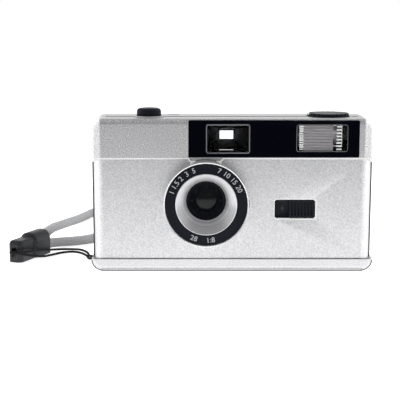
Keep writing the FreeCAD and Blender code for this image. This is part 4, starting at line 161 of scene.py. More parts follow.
def stage_material():
    """Matt white. What looks at it straight sees white, and metal mirrors its near part."""
    material = bpy.data.materials.new("white_sweep")
    material.use_nodes = True
    tree = material.node_tree
    tree.nodes.clear()
    rays = node_of(tree, "ShaderNodeLightPath").outputs
    matt = node_of(tree, "ShaderNodeBsdfDiffuse")
    matt.inputs["Color"].default_value = FLOOR_PAINT
    white = node_of(tree, "ShaderNodeEmission")
    link(tree, maths(tree, "MULTIPLY", seen_straight(tree, rays), FLOOR_GLOW), white.inputs["Strength"])
    both = node_of(tree, "ShaderNodeAddShader")
    link(tree, matt.outputs[0], both.inputs[0])
    link(tree, white.outputs[0], both.inputs[1])
    depth = split_of(tree, "Object")["Y"]
    before = ramp_of(tree, depth, *NEAR_TO_FAR, MIRROR_FAR, MIRROR_NEAR)
    behind = ramp_of(tree, depth, *FRONT_TO_BEHIND, 1.0, MIRROR_BEHIND)
    mirrored = node_of(tree, "ShaderNodeEmission")
    link(tree, maths(tree, "MULTIPLY", before, behind), mirrored.inputs["Strength"])
    either = node_of(tree, "ShaderNodeMixShader")
    shiny = maths(tree, "SUBTRACT", rays["Is Glossy Ray"], rays["Is Transmission Ray"])
    link(tree, shiny, either.inputs[0])
    link(tree, both.outputs[0], either.inputs[1])
    link(tree, mirrored.outputs[0], either.inputs[2])
    link(tree, either.outputs[0], node_of(tree, "ShaderNodeOutputMaterial").inputs["Surface"])
    return material


def make_floor():
    mesh = bpy.data.meshes.new("floor")
    half = FLOOR_SIZE / 2
    corners = [(x, y, -FLOOR_GAP) for x, y in ((-half, -half), (half, -half), (half, half), (-half, half))]
    mesh.from_pydata(corners, [], [(0, 1, 2, 3)])
    floor = bpy.data.objects.new("floor", mesh)
    mesh.materials.append(stage_material())
    scene.collection.objects.link(floor)


make_floor()
print("floor", FLOOR_SIZE, "m")

# %% [markdown]
# The room. A photographer hangs white cloths and black flags round a shiny object, because metal shows
# whatever is about it. The world does the same by direction: white where the lens looks, a plain level
# for matt surfaces, and for what metal mirrors a dim front, bright sides, a dark flag far behind and a
# dim top.

# %% World
HORIZON_LEVEL, ZENITH_LEVEL, HORIZON_TO_ZENITH = 0.95, 0.45, (0.15, 0.75)
PLAIN_FRONT, PLAIN_TURN = 0.85, (-0.7, 0.0)
FRONT_LEVEL, BACK_LEVEL, FRONT_TO_BACK = 0.26, 0.88, (-0.75, 0.1)
SIDE_LEVEL, MIDDLE_TO_SIDE = 0.72, (0.35, 0.75)
FLAG_LEVEL, FLAG_SIDES, FLAG_DEPTH = 0.08, (0.22, 0.30), (0.70, 0.80)
TOP_LEVEL, SIDE_TO_TOP = 0.30, (0.3, 0.8)
UNDER_LEVEL, BELOW_TO_LEVEL = 0.5, (-0.3, -0.1)


def make_world():
    """White where the lens looks, plain light all round, and a studio for metal to mirror."""
    world = bpy.data.worlds.new("studio")
    world.use_nodes = True
    tree = world.node_tree
    glow = tree.nodes["Background"]
    glow.inputs["Color"].default_value = (1, 1, 1, 1)
    way = split_of(tree, "Generated")
    sideways = maths(tree, "ABSOLUTE", way["X"])
    along = ramp_of(tree, way["Y"], *FRONT_TO_BACK, FRONT_LEVEL, BACK_LEVEL)
    side = ramp_of(tree, sideways, *MIDDLE_TO_SIDE, 0.0, SIDE_LEVEL)
    behind = ramp_of(tree, way["Y"], *FLAG_DEPTH, 0.0, 1.0)
    flag = maths(tree, "MULTIPLY", ramp_of(tree, sideways, *FLAG_SIDES, 0.0, 1.0), behind)
    level = chosen(tree, flag, maths(tree, "MAXIMUM", along, side), FLAG_LEVEL)
    mirrored = chosen(tree, ramp_of(tree, way["Z"], *SIDE_TO_TOP, 0.0, 1.0), level, TOP_LEVEL)
    height = ramp_of(tree, way["Z"], *HORIZON_TO_ZENITH, HORIZON_LEVEL, ZENITH_LEVEL)
    facing = ramp_of(tree, way["Y"], *PLAIN_TURN, PLAIN_FRONT, 1.0)
    plain = maths(tree, "MULTIPLY", height, facing)
    under = ramp_of(tree, way["Z"], *BELOW_TO_LEVEL, 1.0, 0.0)
    rays = node_of(tree, "ShaderNodeLightPath").outputs
    level = chosen(tree, rays["Is Glossy Ray"], plain, mirrored)
    level = chosen(tree, under, level, UNDER_LEVEL)
    link(tree, chosen(tree, seen_straight(tree, rays), level, 1.0), glow.inputs["Strength"])
    scene.world = world
    print("world", world.name)


make_world()

# %% [markdown]
# The lamps. Three soft boxes, overhead and at both sides, stand for the studio's lamps. Metal doesn't
# mirror them, because a lamp's square picture on the silver would give it away; the room does that.

# %% Lamps
AIM = Vector((0, 0, 0.03))
LAMPS = [
    ("top_softbox", (0, 0.05, 0.75), (0.9, 0.7), 3.2),
    ("left_softbox", (-0.62, -0.02, 0.28), (0.35, 0.55), 2.4),
    ("right_softbox", (0.62, -0.02, 0.28), (0.35, 0.55), 2.4),
]


def soft_lamp(name, place, size, power):
    data = bpy.data.lights.new(name, "AREA")
    data.shape = "RECTANGLE"
    data.size, data.size_y = size
    data.energy = power
    lamp = bpy.data.objects.new(name, data)
    lamp.location = place
    lamp.rotation_euler = (AIM - Vector(place)).to_track_quat("-Z", "Y").to_euler()
    lamp.visible_glossy = False
    scene.collection.objects.link(lamp)


for lamp_values in LAMPS:
    soft_lamp(*lamp_values)
scene.view_settings.view_transform = "Standard"
print("lamps", len(LAMPS))

# %% [markdown]
# The wrist strap: a grey woven cord, closed to a loop by a plastic slider, with a black string that ties it
# to the lug. Each is one smooth curve along listed points, so it bends like a cord and not like wire. The
# points are the ones that the construction uses, and the lower string lies a little nearer the upper one, as
# in the photograph.

# %% Strap routes
CORD_ROUTE = [
    (-82.6, 25.2, 3.0), (-80.8, 29.65, 3.0), (-76.9, 34.0, 2.6), (-70.9, 38.1, 2.2), (-62.4, 43.6, 2.15),
    (-58.4, 53.0, 2.15), (-57.6, 66.0, 2.15), (-58.2, 80.0, 2.15), (-58.1, 94.0, 2.15), (-57.6, 106.0, 2.15),
    (-59.8, 114.0, 2.15), (-65.2, 117.0, 2.15), (-69.8, 112.4, 2.2), (-71.7, 102.5, 2.3), (-74.4, 88.5, 2.9),
    (-77.0, 75.5, 4.0), (-79.2, 60.0, 5.4), (-80.6, 46.5, 6.9), (-80.9, 36.5, 7.7), (-81.1, 28.9, 8.0),
    (-82.6, 25.2, 8.0),
]
UPPER_STRING = [
    (-57.15, -3.4, 4.5), (-58.1, -3.1, 4.5), (-59.0, -0.7, 4.35), (-60.3, 6.5, 3.9), (-62.6, 14.0, 3.0),
    (-65.2, 21.6, 1.9), (-68.4, 26.0, 1.1), (-72.8, 27.4, 0.8), (-76.6, 25.0, 1.2), (-79.3, 18.6, 2.4),
    (-81.4, 11.8, 3.8), (-83.2, 5.6, 4.8), (-85.2, 1.0, 5.3), (-88.2, -0.9, 5.3), (-91.2, -0.4, 5.1),
    (-92.4, 2.4, 4.9), (-90.95, 6.0, 4.8),
]
LOWER_STRING = [
    (-57.15, -5.2, 4.1), (-58.1, -4.9, 3.9), (-58.9, -2.8, 3.5), (-60.3, 4.4, 2.9), (-62.4, 12.0, 2.0),
    (-65.2, 19.0, 1.2), (-69.0, 22.6, 0.8), (-73.2, 21.2, 0.7), (-77.0, 16.0, 0.8), (-79.2, 10.2, 1.4),
    (-81.2, 5.0, 2.6), (-83.9, 2.2, 3.6), (-86.9, 1.2, 4.3), (-89.7, 0.9, 4.7), (-91.15, 2.6, 4.8),
    (-89.85, 5.8, 4.8),
]
CORD_RADIUS = 2.1 * MM
STRING_RADIUS = 0.5 * MM
print("points", len(CORD_ROUTE), len(UPPER_STRING), len(LOWER_STRING))

# %% [markdown]
# A cord as a curve. A spline with a round section stays smooth at every bend and knows its own length,
# which a cord needs. Each point carries the cord's radius, so the curve's own box is as thick as the
# cord is. The length is measured on a copy without its section: that copy turns into bare points.

# %% A cord from a route
SECTION_STEPS = 6
SPAN_STEPS = 10
SPLINE_ORDER = 3


def baked(holder):
    """The plain mesh of what an object's curve or modifier makes. The object itself goes."""
    bpy.context.view_layer.update()
    mesh = bpy.data.meshes.new_from_object(holder.evaluated_get(bpy.context.evaluated_depsgraph_get()))
    bpy.data.objects.remove(holder)
    return mesh


def smooth_curve(name, route, radius):
    """One open spline through the route's control points, with a round section."""
    data = bpy.data.curves.new(name, "CURVE")
    data.dimensions = "3D"
    data.bevel_depth = 1.0
    data.bevel_resolution = SECTION_STEPS
    data.use_fill_caps = True
    data.resolution_u = SPAN_STEPS
    spline = data.splines.new("NURBS")
    spline.points.add(len(route) - 1)
    for point, place in zip(spline.points, route):
        point.co = (*(Vector(place) * MM), 1)
        point.radius = radius
    spline.order_u = SPLINE_ORDER
    spline.use_endpoint_u = True
    curve = bpy.data.objects.new(name, data)
    scene.collection.objects.link(curve)
    return curve


def curve_length(curve):
    """Length of the centre line, measured on the curve without its section."""
    bare = curve.copy()
    bare.data = curve.data.copy()
    bare.data.bevel_depth = 0
    scene.collection.objects.link(bare)
    places = [vertex.co for vertex in baked(bare).vertices]
    return sum((b - a).length for a, b in zip(places, places[1:]))


def lay_cord(name, node, route, radius):
    curve = smooth_curve(name, route, radius)
    length = curve_length(curve)
    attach(curve, "camera")
    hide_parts(node)
    print(name, "length", round(length * 1000, 1), "mm")
    return curve


# %% Lay the strap
upper_string = lay_cord("string_upper_braid", "string_upper", UPPER_STRING, STRING_RADIUS)
lower_string = lay_cord("string_lower_braid", "string_lower", LOWER_STRING, STRING_RADIUS)
grey_cord = lay_cord("strap_cord_weave", "strap_cord", CORD_ROUTE, CORD_RADIUS)

# %% [markdown]
# Shared effects. Every finish on the camera has a fine texture that the eye reads as its material:
# grain in metallic paint, a frosted mould texture in black plastic, a weave on the strap. A shader
# group makes each effect once, from object coordinates, and gives out only values and normals, so any
# finish can use it at its own size.

# %% Groups: grain and handling
FLOAT, VECTOR = "NodeSocketFloat", "NodeSocketVector"
NOISE_SPAN = (0.3, 0.7)


def new_group(name, inputs, outputs, kind="ShaderNodeTree"):
    """A node group with its sockets. An input may carry its usual value."""
    tree = bpy.data.node_groups.new(name, kind)
    for label, socket_kind, *usual in inputs:
        socket = tree.interface.new_socket(label, in_out="INPUT", socket_type=socket_kind)
        if usual:
            socket.default_value = usual[0]
    for label, socket_kind in outputs:
        tree.interface.new_socket(label, in_out="OUTPUT", socket_type=socket_kind)
    print("group", name)
    return tree, node_of(tree, "NodeGroupInput").outputs, node_of(tree, "NodeGroupOutput").inputs


def noise_of(tree, size, detail, roughness=0.5):
    """Noise in the object's own coordinates, so it stays put on a piece that moves."""
    noise = node_of(tree, "ShaderNodeTexNoise")
    link(tree, node_of(tree, "ShaderNodeTexCoord").outputs["Object"], noise.inputs["Vector"])
    for label, value in (("Scale", size), ("Detail", detail), ("Roughness", roughness)):
        feed(tree, noise.inputs[label], value)
    return noise.outputs["Fac"]


def grain_group():
    """Fine speckle: a value about one for the colour, and a height for the relief."""
    tree, start, end = new_group("fine_grain", [("Size", FLOAT, 2600.0), ("Contrast", FLOAT, 0.12)],
                                 [("Value", FLOAT), ("Height", FLOAT)])
    noise = noise_of(tree, start["Size"], detail=3.0, roughness=0.65)
    centred = maths(tree, "SUBTRACT", noise, 0.5)
    link(tree, maths(tree, "MULTIPLY_ADD", centred, start["Contrast"], 1.0), end["Value"])
    link(tree, noise, end["Height"])
    return tree


def cloud_group():
    """Broad, soft unevenness, such as handling dulls a surface."""
    tree, start, end = new_group(
        "handled", [("Size", FLOAT, 45.0), ("Low", FLOAT, 0.0), ("High", FLOAT, 1.0)], [("Value", FLOAT)])
    noise = noise_of(tree, start["Size"], detail=5.0)
    link(tree, ramp_of(tree, noise, *NOISE_SPAN, start["Low"], start["High"], "LINEAR"), end["Value"])
    return tree


GRAIN = grain_group()
HANDLED = cloud_group()

# %% [markdown]
# Turned rings and leaned normals. The cone round the lens was turned on a lathe, which leaves fine
# rings: noise that depends only on the distance from the lens axis gives them. The hood's and the
# panel's ends look rounder in the photograph than they are made here. Geometry is fixed by now, but a
# normal that leans outward near the ends shades them as if they were.
# The same ends also get a painted highlight: their colour is made lighter and less metallic there.

# %% Groups: rings and leaned normals
RING_SHADES = (0.84, 1.10)


def vectors(tree, operation, *sources, result="Vector"):
    made = node_of(tree, "ShaderNodeVectorMath", operation=operation)
    for socket, source in zip(made.inputs, sources):
        feed(tree, socket, source)
    return made.outputs[result]


def ring_group():
    """Fine turned rings round an axis along Y: a value about one, and a height."""
    tree, start, end = new_group("turned_rings", [("Pitch", FLOAT, 0.0004), ("Axis", VECTOR)],
                                 [("Value", FLOAT), ("Height", FLOAT)])
    place = node_of(tree, "ShaderNodeTexCoord").outputs["Object"]
    flat = vectors(tree, "MULTIPLY", vectors(tree, "SUBTRACT", place, start["Axis"]), (1, 0, 1))
    radius = vectors(tree, "LENGTH", flat, result="Value")
    noise = node_of(tree, "ShaderNodeTexNoise", noise_dimensions="1D")
    noise.inputs["Scale"].default_value = 1.0
    link(tree, maths(tree, "DIVIDE", radius, start["Pitch"]), noise.inputs["W"])
    link(tree, ramp_of(tree, noise.outputs["Fac"], *NOISE_SPAN, *RING_SHADES, "LINEAR"), end["Value"])
    link(tree, noise.outputs["Fac"], end["Height"])
    return tree


def tilt_group():
    """A normal leaned outward at both ends along X, and toward the front by its own amount."""
    tree, start, end = new_group("leaned_normal", [
        ("Normal", VECTOR), ("Inside", FLOAT), ("Outside", FLOAT), ("Lean", FLOAT), ("Front", FLOAT)],
        [("Normal", VECTOR), ("End", FLOAT)])
    across = split_of(tree, "Object")["X"]
    far = maths(tree, "ABSOLUTE", across)
    at_end = ramp_of(tree, far, start["Inside"], start["Outside"], 0.0, start["Lean"])
    push = node_of(tree, "ShaderNodeCombineXYZ")
    link(tree, maths(tree, "MULTIPLY", at_end, maths(tree, "SIGN", across)), push.inputs["X"])
    link(tree, maths(tree, "MULTIPLY", start["Front"], -1.0), push.inputs["Y"])
    pushed = vectors(tree, "ADD", start["Normal"], push.outputs[0])
    link(tree, vectors(tree, "NORMALIZE", pushed), end["Normal"])
    link(tree, at_end, end["End"])
    return tree


RINGS = ring_group()
LEANED = tilt_group()

# %% [markdown]
# Finishes. Each one is a Principled shader whose plain numbers sit on its own sockets. The grain group
# feeds the colour and the normal, and the soft cloud feeds the roughness, so that highlights break up
# the way they do on a real camera.

# %% A recipe for a finish
RELIEF_DEPTH = 0.1 * MM
EDGE_SAMPLES = 6


def new_material(name):
    material = bpy.data.materials.new(name)
    material.use_nodes = True
    print("material", name)
    return material, material.node_tree, material.node_tree.nodes["Principled BSDF"].inputs


def group_of(tree, group, **values):
    """One of the shared groups as a node, with its inputs fed."""
    made = node_of(tree, "ShaderNodeGroup", node_tree=group)
    for label, value in values.items():
        feed(tree, made.inputs[label], value)
    return made.outputs


def scaled(tree, colour, factor):
    made = node_of(tree, "ShaderNodeVectorMath", operation="SCALE")
    feed(tree, made.inputs[0], colour)
    feed(tree, made.inputs["Scale"], factor)
    return made.outputs[0]


def relief_of(tree, height, strength, below=None, depth=RELIEF_DEPTH):
    """A normal bumped by a height, over the normal below it."""
    bump = node_of(tree, "ShaderNodeBump")
    for label, value in (("Distance", depth), ("Strength", strength), ("Height", height)):
        feed(tree, bump.inputs[label], value)
    if below:
        link(tree, below, bump.inputs["Normal"])
    return bump.outputs["Normal"]


def new_finish(name, colour, rough, metal=0.0, coat=0.0, grain=(2600, 0.12, 0.02), rough_spread=0.06,
               edge=0.0, **sockets):
    """Colour and relief from the grain, roughness from the cloud, edges rounded by this many mm."""
    material, tree, shader = new_material(name)
    shader["Metallic"].default_value = metal
    shader["Coat Weight"].default_value = coat
    for label, value in sockets.items():
        shader[label.replace("_", " ")].default_value = value
    size, contrast, relief = grain
    speckle = group_of(tree, GRAIN, Size=size, Contrast=contrast)
    link(tree, scaled(tree, colour, speckle["Value"]), shader["Base Color"])
    rounded = None
    if edge:
        bevel = node_of(tree, "ShaderNodeBevel", samples=EDGE_SAMPLES)
        bevel.inputs["Radius"].default_value = edge * MM
        rounded = bevel.outputs["Normal"]
    link(tree, relief_of(tree, speckle["Height"], relief, rounded), shader["Normal"])
    cloud = group_of(tree, HANDLED, Low=rough - rough_spread / 2, High=rough + rough_spread / 2)
    link(tree, cloud["Value"], shader["Roughness"])
    return material


# %% [markdown]
# Two changes that go over a finished recipe. Each takes what already feeds the colour and the normal,
# puts its own nodes in between, and links the result back, as one glazes a painted model.

# %% Rings and leans over a finish
RING_RELIEF = 0.5
HOOD_ENDS = (52.3 * MM, 53.6 * MM)


def taken_from(material):
    """The tree, the shader's inputs, and what feeds its colour and its normal now."""
    tree = material.node_tree
    shader = tree.nodes["Principled BSDF"].inputs
    return tree, shader, shader["Base Color"].links[0].from_socket, shader["Normal"].links[0].from_socket


def turn_rings(material, axis, pitch):
    """Lay turned rings over a finish: they shade its colour and add to its relief."""
    tree, shader, colour, normal = taken_from(material)
    rings = group_of(tree, RINGS, Axis=axis, Pitch=pitch)
    link(tree, scaled(tree, colour, rings["Value"]), shader["Base Color"])
    link(tree, relief_of(tree, rings["Height"], RING_RELIEF, normal), shader["Normal"])


def lean_normal(material, lean=0.0, front=0.0, span=HOOD_ENDS, end_highlight_gain=0.0, end_highlight_less_metal=0.0):
    """Shade the skin as if it leaned outward at the ends, or toward the front, with a painted highlight at
    the ends: a lighter, less metallic colour there.
    """
    tree, shader, colour, normal = taken_from(material)
    leaned = group_of(tree, LEANED, Normal=normal, Inside=span[0], Outside=span[1], Lean=lean, Front=front)
    # Painted highlight: the colour is raised at the ends, and the metal turned down there.
    painted_highlight = maths(tree, "MULTIPLY_ADD", leaned["End"], end_highlight_gain, 1.0)
    link(tree, scaled(tree, colour, painted_highlight), shader["Base Color"])
    if end_highlight_less_metal:
        highlight_metallic = maths(tree, "MULTIPLY_ADD", leaned["End"], -end_highlight_less_metal, shader["Metallic"].default_value)
        link(tree, highlight_metallic, shader["Metallic"])
    link(tree, leaned["Normal"], shader["Normal"])


def clear_finish(name, tint, rough=0.02, index=1.49):
    """See-through plastic with faint haze marks."""
    material, tree, shader = new_material(name)
    shader["Base Color"].default_value = (*tint, 1)
    shader["Transmission Weight"].default_value = 1.0
    shader["IOR"].default_value = index
    cloud = group_of(tree, HANDLED, Low=rough, High=rough + 0.03)
    link(tree, cloud["Value"], shader["Roughness"])
    return material


# %% Metals and silver paint
RING_LOW, RING_HIGH = (Vector(corner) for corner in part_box("scale_ring"))
LENS_AXIS = (RING_LOW + RING_HIGH) / 2
RING_PITCH = 0.6 * MM
PANEL_ENDS = (51.6 * MM, 53.4 * MM)
PAINT = (0.72, 0.72, 0.735)
SILVER = new_finish("silver_paint", PAINT, 0.36, metal=0.8, grain=(2100, 1.3, 0.10), edge=0.4)
# The hood is the same silver paint as the panel, its colour set a little darker: painted shade for the
# lesser light on the hood's face.
HOOD = new_finish("hood_silver", (0.68, 0.675, 0.69), 0.34, metal=0.8, grain=(2100, 2.2, 0.12), edge=0.5)
# The hood's ends get a painted highlight.
lean_normal(HOOD, lean=0.9, end_highlight_gain=0.48, end_highlight_less_metal=0.85)
# Painted highlight: a near-white finish for the beads that stand for light caught on the hood's lip and
# round the switch's recess.
EDGE_HIGHLIGHT = new_finish("painted_edge_highlight", (0.97, 0.97, 0.97), 0.30, grain=(2100, 0.1, 0.02))
PANEL = new_finish("panel_silver", PAINT, 0.36, metal=0.8, grain=(2100, 1.2, 0.10), edge=0.4)
# The panel's ends get a painted highlight too.
lean_normal(PANEL, lean=0.5, span=PANEL_ENDS, end_highlight_gain=0.6, end_highlight_less_metal=1.1)
BASE = new_finish("base_silver", PAINT, 0.36, metal=0.8, grain=(2100, 1.2, 0.10), edge=0.4)
CONE = new_finish("cone_silver", (0.70, 0.70, 0.715), 0.34, metal=0.85, grain=(2600, 0.7, 0.06))
turn_rings(CONE, (LENS_AXIS.x, 0, LENS_AXIS.z), RING_PITCH)
lean_normal(CONE, front=0.85)
# Painted highlight: a pale, less metallic silver for the sloping edge round the switch's recess.
RECESS_EDGE_HIGHLIGHT = new_finish("painted_recess_highlight", (0.88, 0.88, 0.89), 0.3, metal=0.4, grain=(2100, 0.2, 0.03))
TRIM = new_finish("bright_trim", (0.86, 0.86, 0.87), 0.16, metal=1.0, grain=(3000, 0.05, 0.01))
STEEL = new_finish("spring_steel", (0.55, 0.54, 0.52), 0.28, metal=1.0, grain=(2000, 0.15, 0.03))
DARK_STEEL = new_finish("blackened_steel", (0.05, 0.05, 0.055), 0.38, metal=0.8, grain=(2000, 0.3, 0.06))
REFLECTOR = new_finish("reflector_satin", (0.34, 0.325, 0.33), 0.34, metal=1.0, grain=(600, 0.3, 0.05))

# %% [markdown]
# The blacks. Seven blacks on one camera differ in how they shine: frosted mouldings, satin buttons, the
# near-mirror of the window panel, the dull insides. Real black plastic is never quite black and a
# little blue here, and its mirror is turned down by the specular level, since the room is so white.

# %% Plastics, windows and print
BLACK = new_finish("black_plastic", (0.010, 0.011, 0.014), 0.46, grain=(1500, 0.9, 0.55),
                   Specular_IOR_Level=0.3)
INKY = new_finish("inky_plastic", (0.006, 0.008, 0.014), 0.35, grain=(3000, 0.3, 0.10),
                  Specular_IOR_Level=0.15)
MATT_BLACK = new_finish("inside_black", (0.004, 0.004, 0.005), 0.75, grain=(2400, 0.3, 0.10),
                        Specular_IOR_Level=0.15)
GLOSS = new_finish("gloss_black", (0.0016, 0.002, 0.0045), 0.05, grain=(900, 0.1, 0.003),
                   rough_spread=0.03, Specular_IOR_Level=0.02)
RING = new_finish("ring_black", (0.008, 0.010, 0.016), 0.36, grain=(3000, 0.2, 0.05),
                  Specular_IOR_Level=0.10)
BARREL = new_finish("barrel_black", (0.0035, 0.0045, 0.009), 0.25, grain=(3000, 0.2, 0.03),
                    Specular_IOR_Level=0.2)
GREY = new_finish("slider_grey", (0.013, 0.014, 0.018), 0.36, grain=(2800, 0.3, 0.12))
CLEAR = clear_finish("clear_window", (0.95, 0.96, 0.97), index=1.06)
LENS = clear_finish("lens_glass", (0.05, 0.06, 0.09), index=1.36)
# Painted highlight: a light grey for the windows' bevel faces, where they catch the light.
BEVEL_GLINT = new_finish("window_bevel", (0.30, 0.31, 0.33), 0.25, grain=(1200, 0.3, 0.02))
BOARD = new_finish("board_green", (0.015, 0.09, 0.035), 0.38, coat=0.4, grain=(1500, 0.2, 0.03))
SLEEVE = new_finish("capacitor_sleeve", (0.012, 0.018, 0.06), 0.3, grain=(1500, 0.2, 0.02))
CELL = new_finish("cell_jacket", (0.05, 0.055, 0.06), 0.3, metal=0.6, grain=(1500, 0.2, 0.02))
DIAL = new_finish("dial_white", (0.74, 0.74, 0.71), 0.45, grain=(2400, 0.06, 0.03))
LAMP = new_finish("lamp_red", (0.55, 0.02, 0.012), 0.18, grain=(1500, 0.2, 0.01), coat=0.3)
FLUTES = new_finish("mauve_flutes", (0.27, 0.252, 0.257), 0.32, grain=(1800, 0.4, 0.05),
                    Specular_IOR_Level=0.35)
PRISM = new_finish("prism_sparkle", (0.66, 0.66, 0.64), 0.16, metal=0.6, grain=(1800, 0.6, 0.2))
PRINT = new_finish("white_print", (0.55, 0.56, 0.58), 0.5, grain=(3000, 0.2, 0.02))
DARK_PRINT = new_finish("dark_print", (0.012, 0.012, 0.014), 0.5, grain=(3000, 0.2, 0.02))
FAINT_PRINT = new_finish("faint_print", (0.03, 0.033, 0.042), 0.5, grain=(3000, 0.2, 0.02))
# Painted shade: a dark finish for the beads that stand for the shade in the side grooves.
PAINTED_GROOVE_SHADE = new_finish("painted_groove_shade", (0.02, 0.02, 0.023), 0.6, grain=(2400, 0.3, 0.10))
# Painted shade: a grey finish for the beads that stand for the shadow at the foot and the shade on the top
# seam.
PAINTED_SHADE_LINE = new_finish("painted_shade_line", (0.10, 0.10, 0.105), 0.6, grain=(2400, 0.3, 0.10))

# %% Which node gets which finish
FINISHES = {
    "top_cover": HOOD, "rear_shell": SILVER, "front_panel": PANEL, "bottom_cover": BASE,
    "battery_door": SILVER, "button_collar": SILVER, "rewind_knob": INKY, "back_door": BLACK,
    "window_panel": GLOSS, "finder_window": CLEAR, "finder_tunnel": MATT_BLACK, "finder_objective": CLEAR,
    "finder_eyepiece": CLEAR, "eyepiece_bezel": BLACK, "flash_window": CLEAR, "flash_reflector": REFLECTOR,
    "flash_tube": CLEAR, "ready_lamp": LAMP, "flash_board": BOARD, "flash_capacitor": SLEEVE,
    "flash_switch": INKY, "lens_ring": TRIM, "scale_ring": RING, "lens_cone": CONE, "lens_barrel": BARREL,
    "front_lens": LENS, "aperture_plate": MATT_BLACK, "rear_lens": LENS, "shutter_plate": DARK_STEEL,
    "shutter_blade": DARK_STEEL, "release_lever": STEEL, "shutter_button": INKY, "button_spring": STEEL,
    "film_chassis": MATT_BLACK, "light_box": MATT_BLACK, "take_up_spool": BLACK, "advance_wheel": BLACK,
    "sprocket": BLACK, "counter_dial": DIAL, "counter_window": CLEAR, "rewind_seat": BLACK,
    "rewind_shaft": BLACK, "rewind_clip": STEEL, "crank_lever": INKY, "pressure_plate": DARK_STEEL,
    "pressure_spring": STEEL, "film_window": CLEAR, "hinge_pin": STEEL, "door_latch": BLACK, "battery": CELL,
    "battery_contact": STEEL, "battery_spring": STEEL, "rewind_release": BLACK, "case_screws": DARK_STEEL,
    "strap_lug": STEEL, "strap_tip": GREY, "cord_slider": GREY,
}

# %% [markdown]
# Smooth copies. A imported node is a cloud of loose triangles. A joined copy can shade smoothly across
# its curves, and keeps crisp edges where two faces meet at an angle, so each visible node gets one that
# stands for it and rides on the same body.

# %% Finish every node
SMOOTH_ANGLE = math.radians(32)
SAME_PLACE = 1e-6
FULL_WEIGHT = 100


def joined_copy(node, name):
    mesh = NODES[node].data.copy()
    work = bmesh.new()
    work.from_mesh(mesh)
    bmesh.ops.remove_doubles(work, verts=work.verts, dist=SAME_PLACE)
    bmesh.ops.dissolve_degenerate(work, edges=work.edges, dist=SAME_PLACE)
    work.to_mesh(mesh)
    work.free()
    mesh.name = name
    piece = bpy.data.objects.new(name, mesh)
    scene.collection.objects.link(piece)
    mesh.shade_smooth()
    mesh.set_sharp_from_angle(angle=SMOOTH_ANGLE)
    flat_first = piece.modifiers.new("flat_faces_stay_flat", "WEIGHTED_NORMAL")
    flat_first.mode = "FACE_AREA"
    flat_first.weight = FULL_WEIGHT
    flat_first.keep_sharp = True
    return piece


def body_of(node):
    return next(body for body, nodes in frame["record"]["behaviour"]["bodies"].items() if node in nodes)


def slot_of(node):
    return next(part["material_slot"] for part in frame["record"]["subparts"] if part["node"] == node)


def set_finish(piece, material):
    piece.data.materials.clear()
    piece.data.materials.append(material)


def dress(node, material):
    piece = joined_copy(node, node + "_finished")
    set_finish(piece, material)
    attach(piece, body_of(node))
    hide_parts(node)
    return piece


DRESSED = {node: dress(node, material) for node, material in FINISHES.items()}
print("finished", len(DRESSED), "nodes")

# %% [markdown]
# Two tones on one moulding. The windows and the front panel are each one moulded piece. The windows' bevel
# faces and the sloping edge round the flash switch's recess get a painted highlight, a lighter finish where
# they catch the light, and the recess has a black floor. So the faces of the copy get their own finishes, by
# their place and by the way they face.

# %% Painted highlights on the bevels, and the switch recess
BEVEL_FACING = (-0.95, -0.2)
RECESS_LOW = Vector((16.0, 0, 20.7)) * MM
RECESS_HIGH = Vector((34.5, 0, 30.2)) * MM
PANEL_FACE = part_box("front_panel")[0][1]
EDGE_TOP = PANEL_FACE + 0.01 * MM
EDGE_FOOT = PANEL_FACE + 0.62 * MM


def paint_where(piece, material, test):
    """Give the faces that pass a test of middle and normal their own finish."""
    mesh = piece.data
    mesh.materials.append(material)
    chosen_faces = [face for face in mesh.polygons if test(face.center, face.normal)]
    for face in chosen_faces:
        face.material_index = len(mesh.materials) - 1
    print(piece.name, material.name, len(chosen_faces), "faces")


def in_recess(middle):
    return RECESS_LOW.x < middle.x < RECESS_HIGH.x and RECESS_LOW.z < middle.z < RECESS_HIGH.z


# The windows' bevel faces get the painted highlight.
for window in ("finder_window", "flash_window"):
    paint_where(DRESSED[window], BEVEL_GLINT, lambda middle, normal: BEVEL_FACING[0] < normal.y < BEVEL_FACING[1])
paint_where(DRESSED["front_panel"], INKY,
            lambda middle, normal: in_recess(middle) and EDGE_FOOT < middle.y)
# The sloping edge round the recess gets the painted highlight.
paint_where(DRESSED["front_panel"], RECESS_EDGE_HIGHLIGHT,
            lambda middle, normal: in_recess(middle) and EDGE_TOP < middle.y < EDGE_FOOT)

# %% [markdown]
# Printed figures. The black ring round the lens carries plain figures, as such rings do, and so does
# the frame counter. A font object is turned to a mesh first, then each figure is set on its circle, so
# the print is real geometry, a few hundredths of a millimetre thick.

# %% Figures on a circle
PRINT_THICK = 0.03 * MM
RIGHT, BACK, UP = Vector((1, 0, 0)), Vector((0, 1, 0)), Vector((0, 0, 1))


def figure_mesh(words, size):
    data = bpy.data.curves.new("figure", "FONT")
    data.body = words
    data.size = size
    data.align_x = "CENTER"
    data.align_y = "CENTER"
    data.extrude = PRINT_THICK
    data.resolution_u = 3
    text = bpy.data.objects.new("figure", data)
    scene.collection.objects.link(text)
    return baked(text)


def placed(name, mesh, body):
    """A new object for a mesh, riding on a body."""
    piece = bpy.data.objects.new(name, mesh)
    scene.collection.objects.link(piece)
    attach(piece, body)
    print(name, "faces", len(mesh.polygons))
    return piece


def joined(name, meshes, material, body):
    """One object made of several meshes."""
    work = bmesh.new()
    for mesh in meshes:
        work.from_mesh(mesh)
        bpy.data.meshes.remove(mesh)
    whole = bpy.data.meshes.new(name)
    work.to_mesh(whole)
    work.free()
    whole.materials.append(material)
    return placed(name, whole, body)


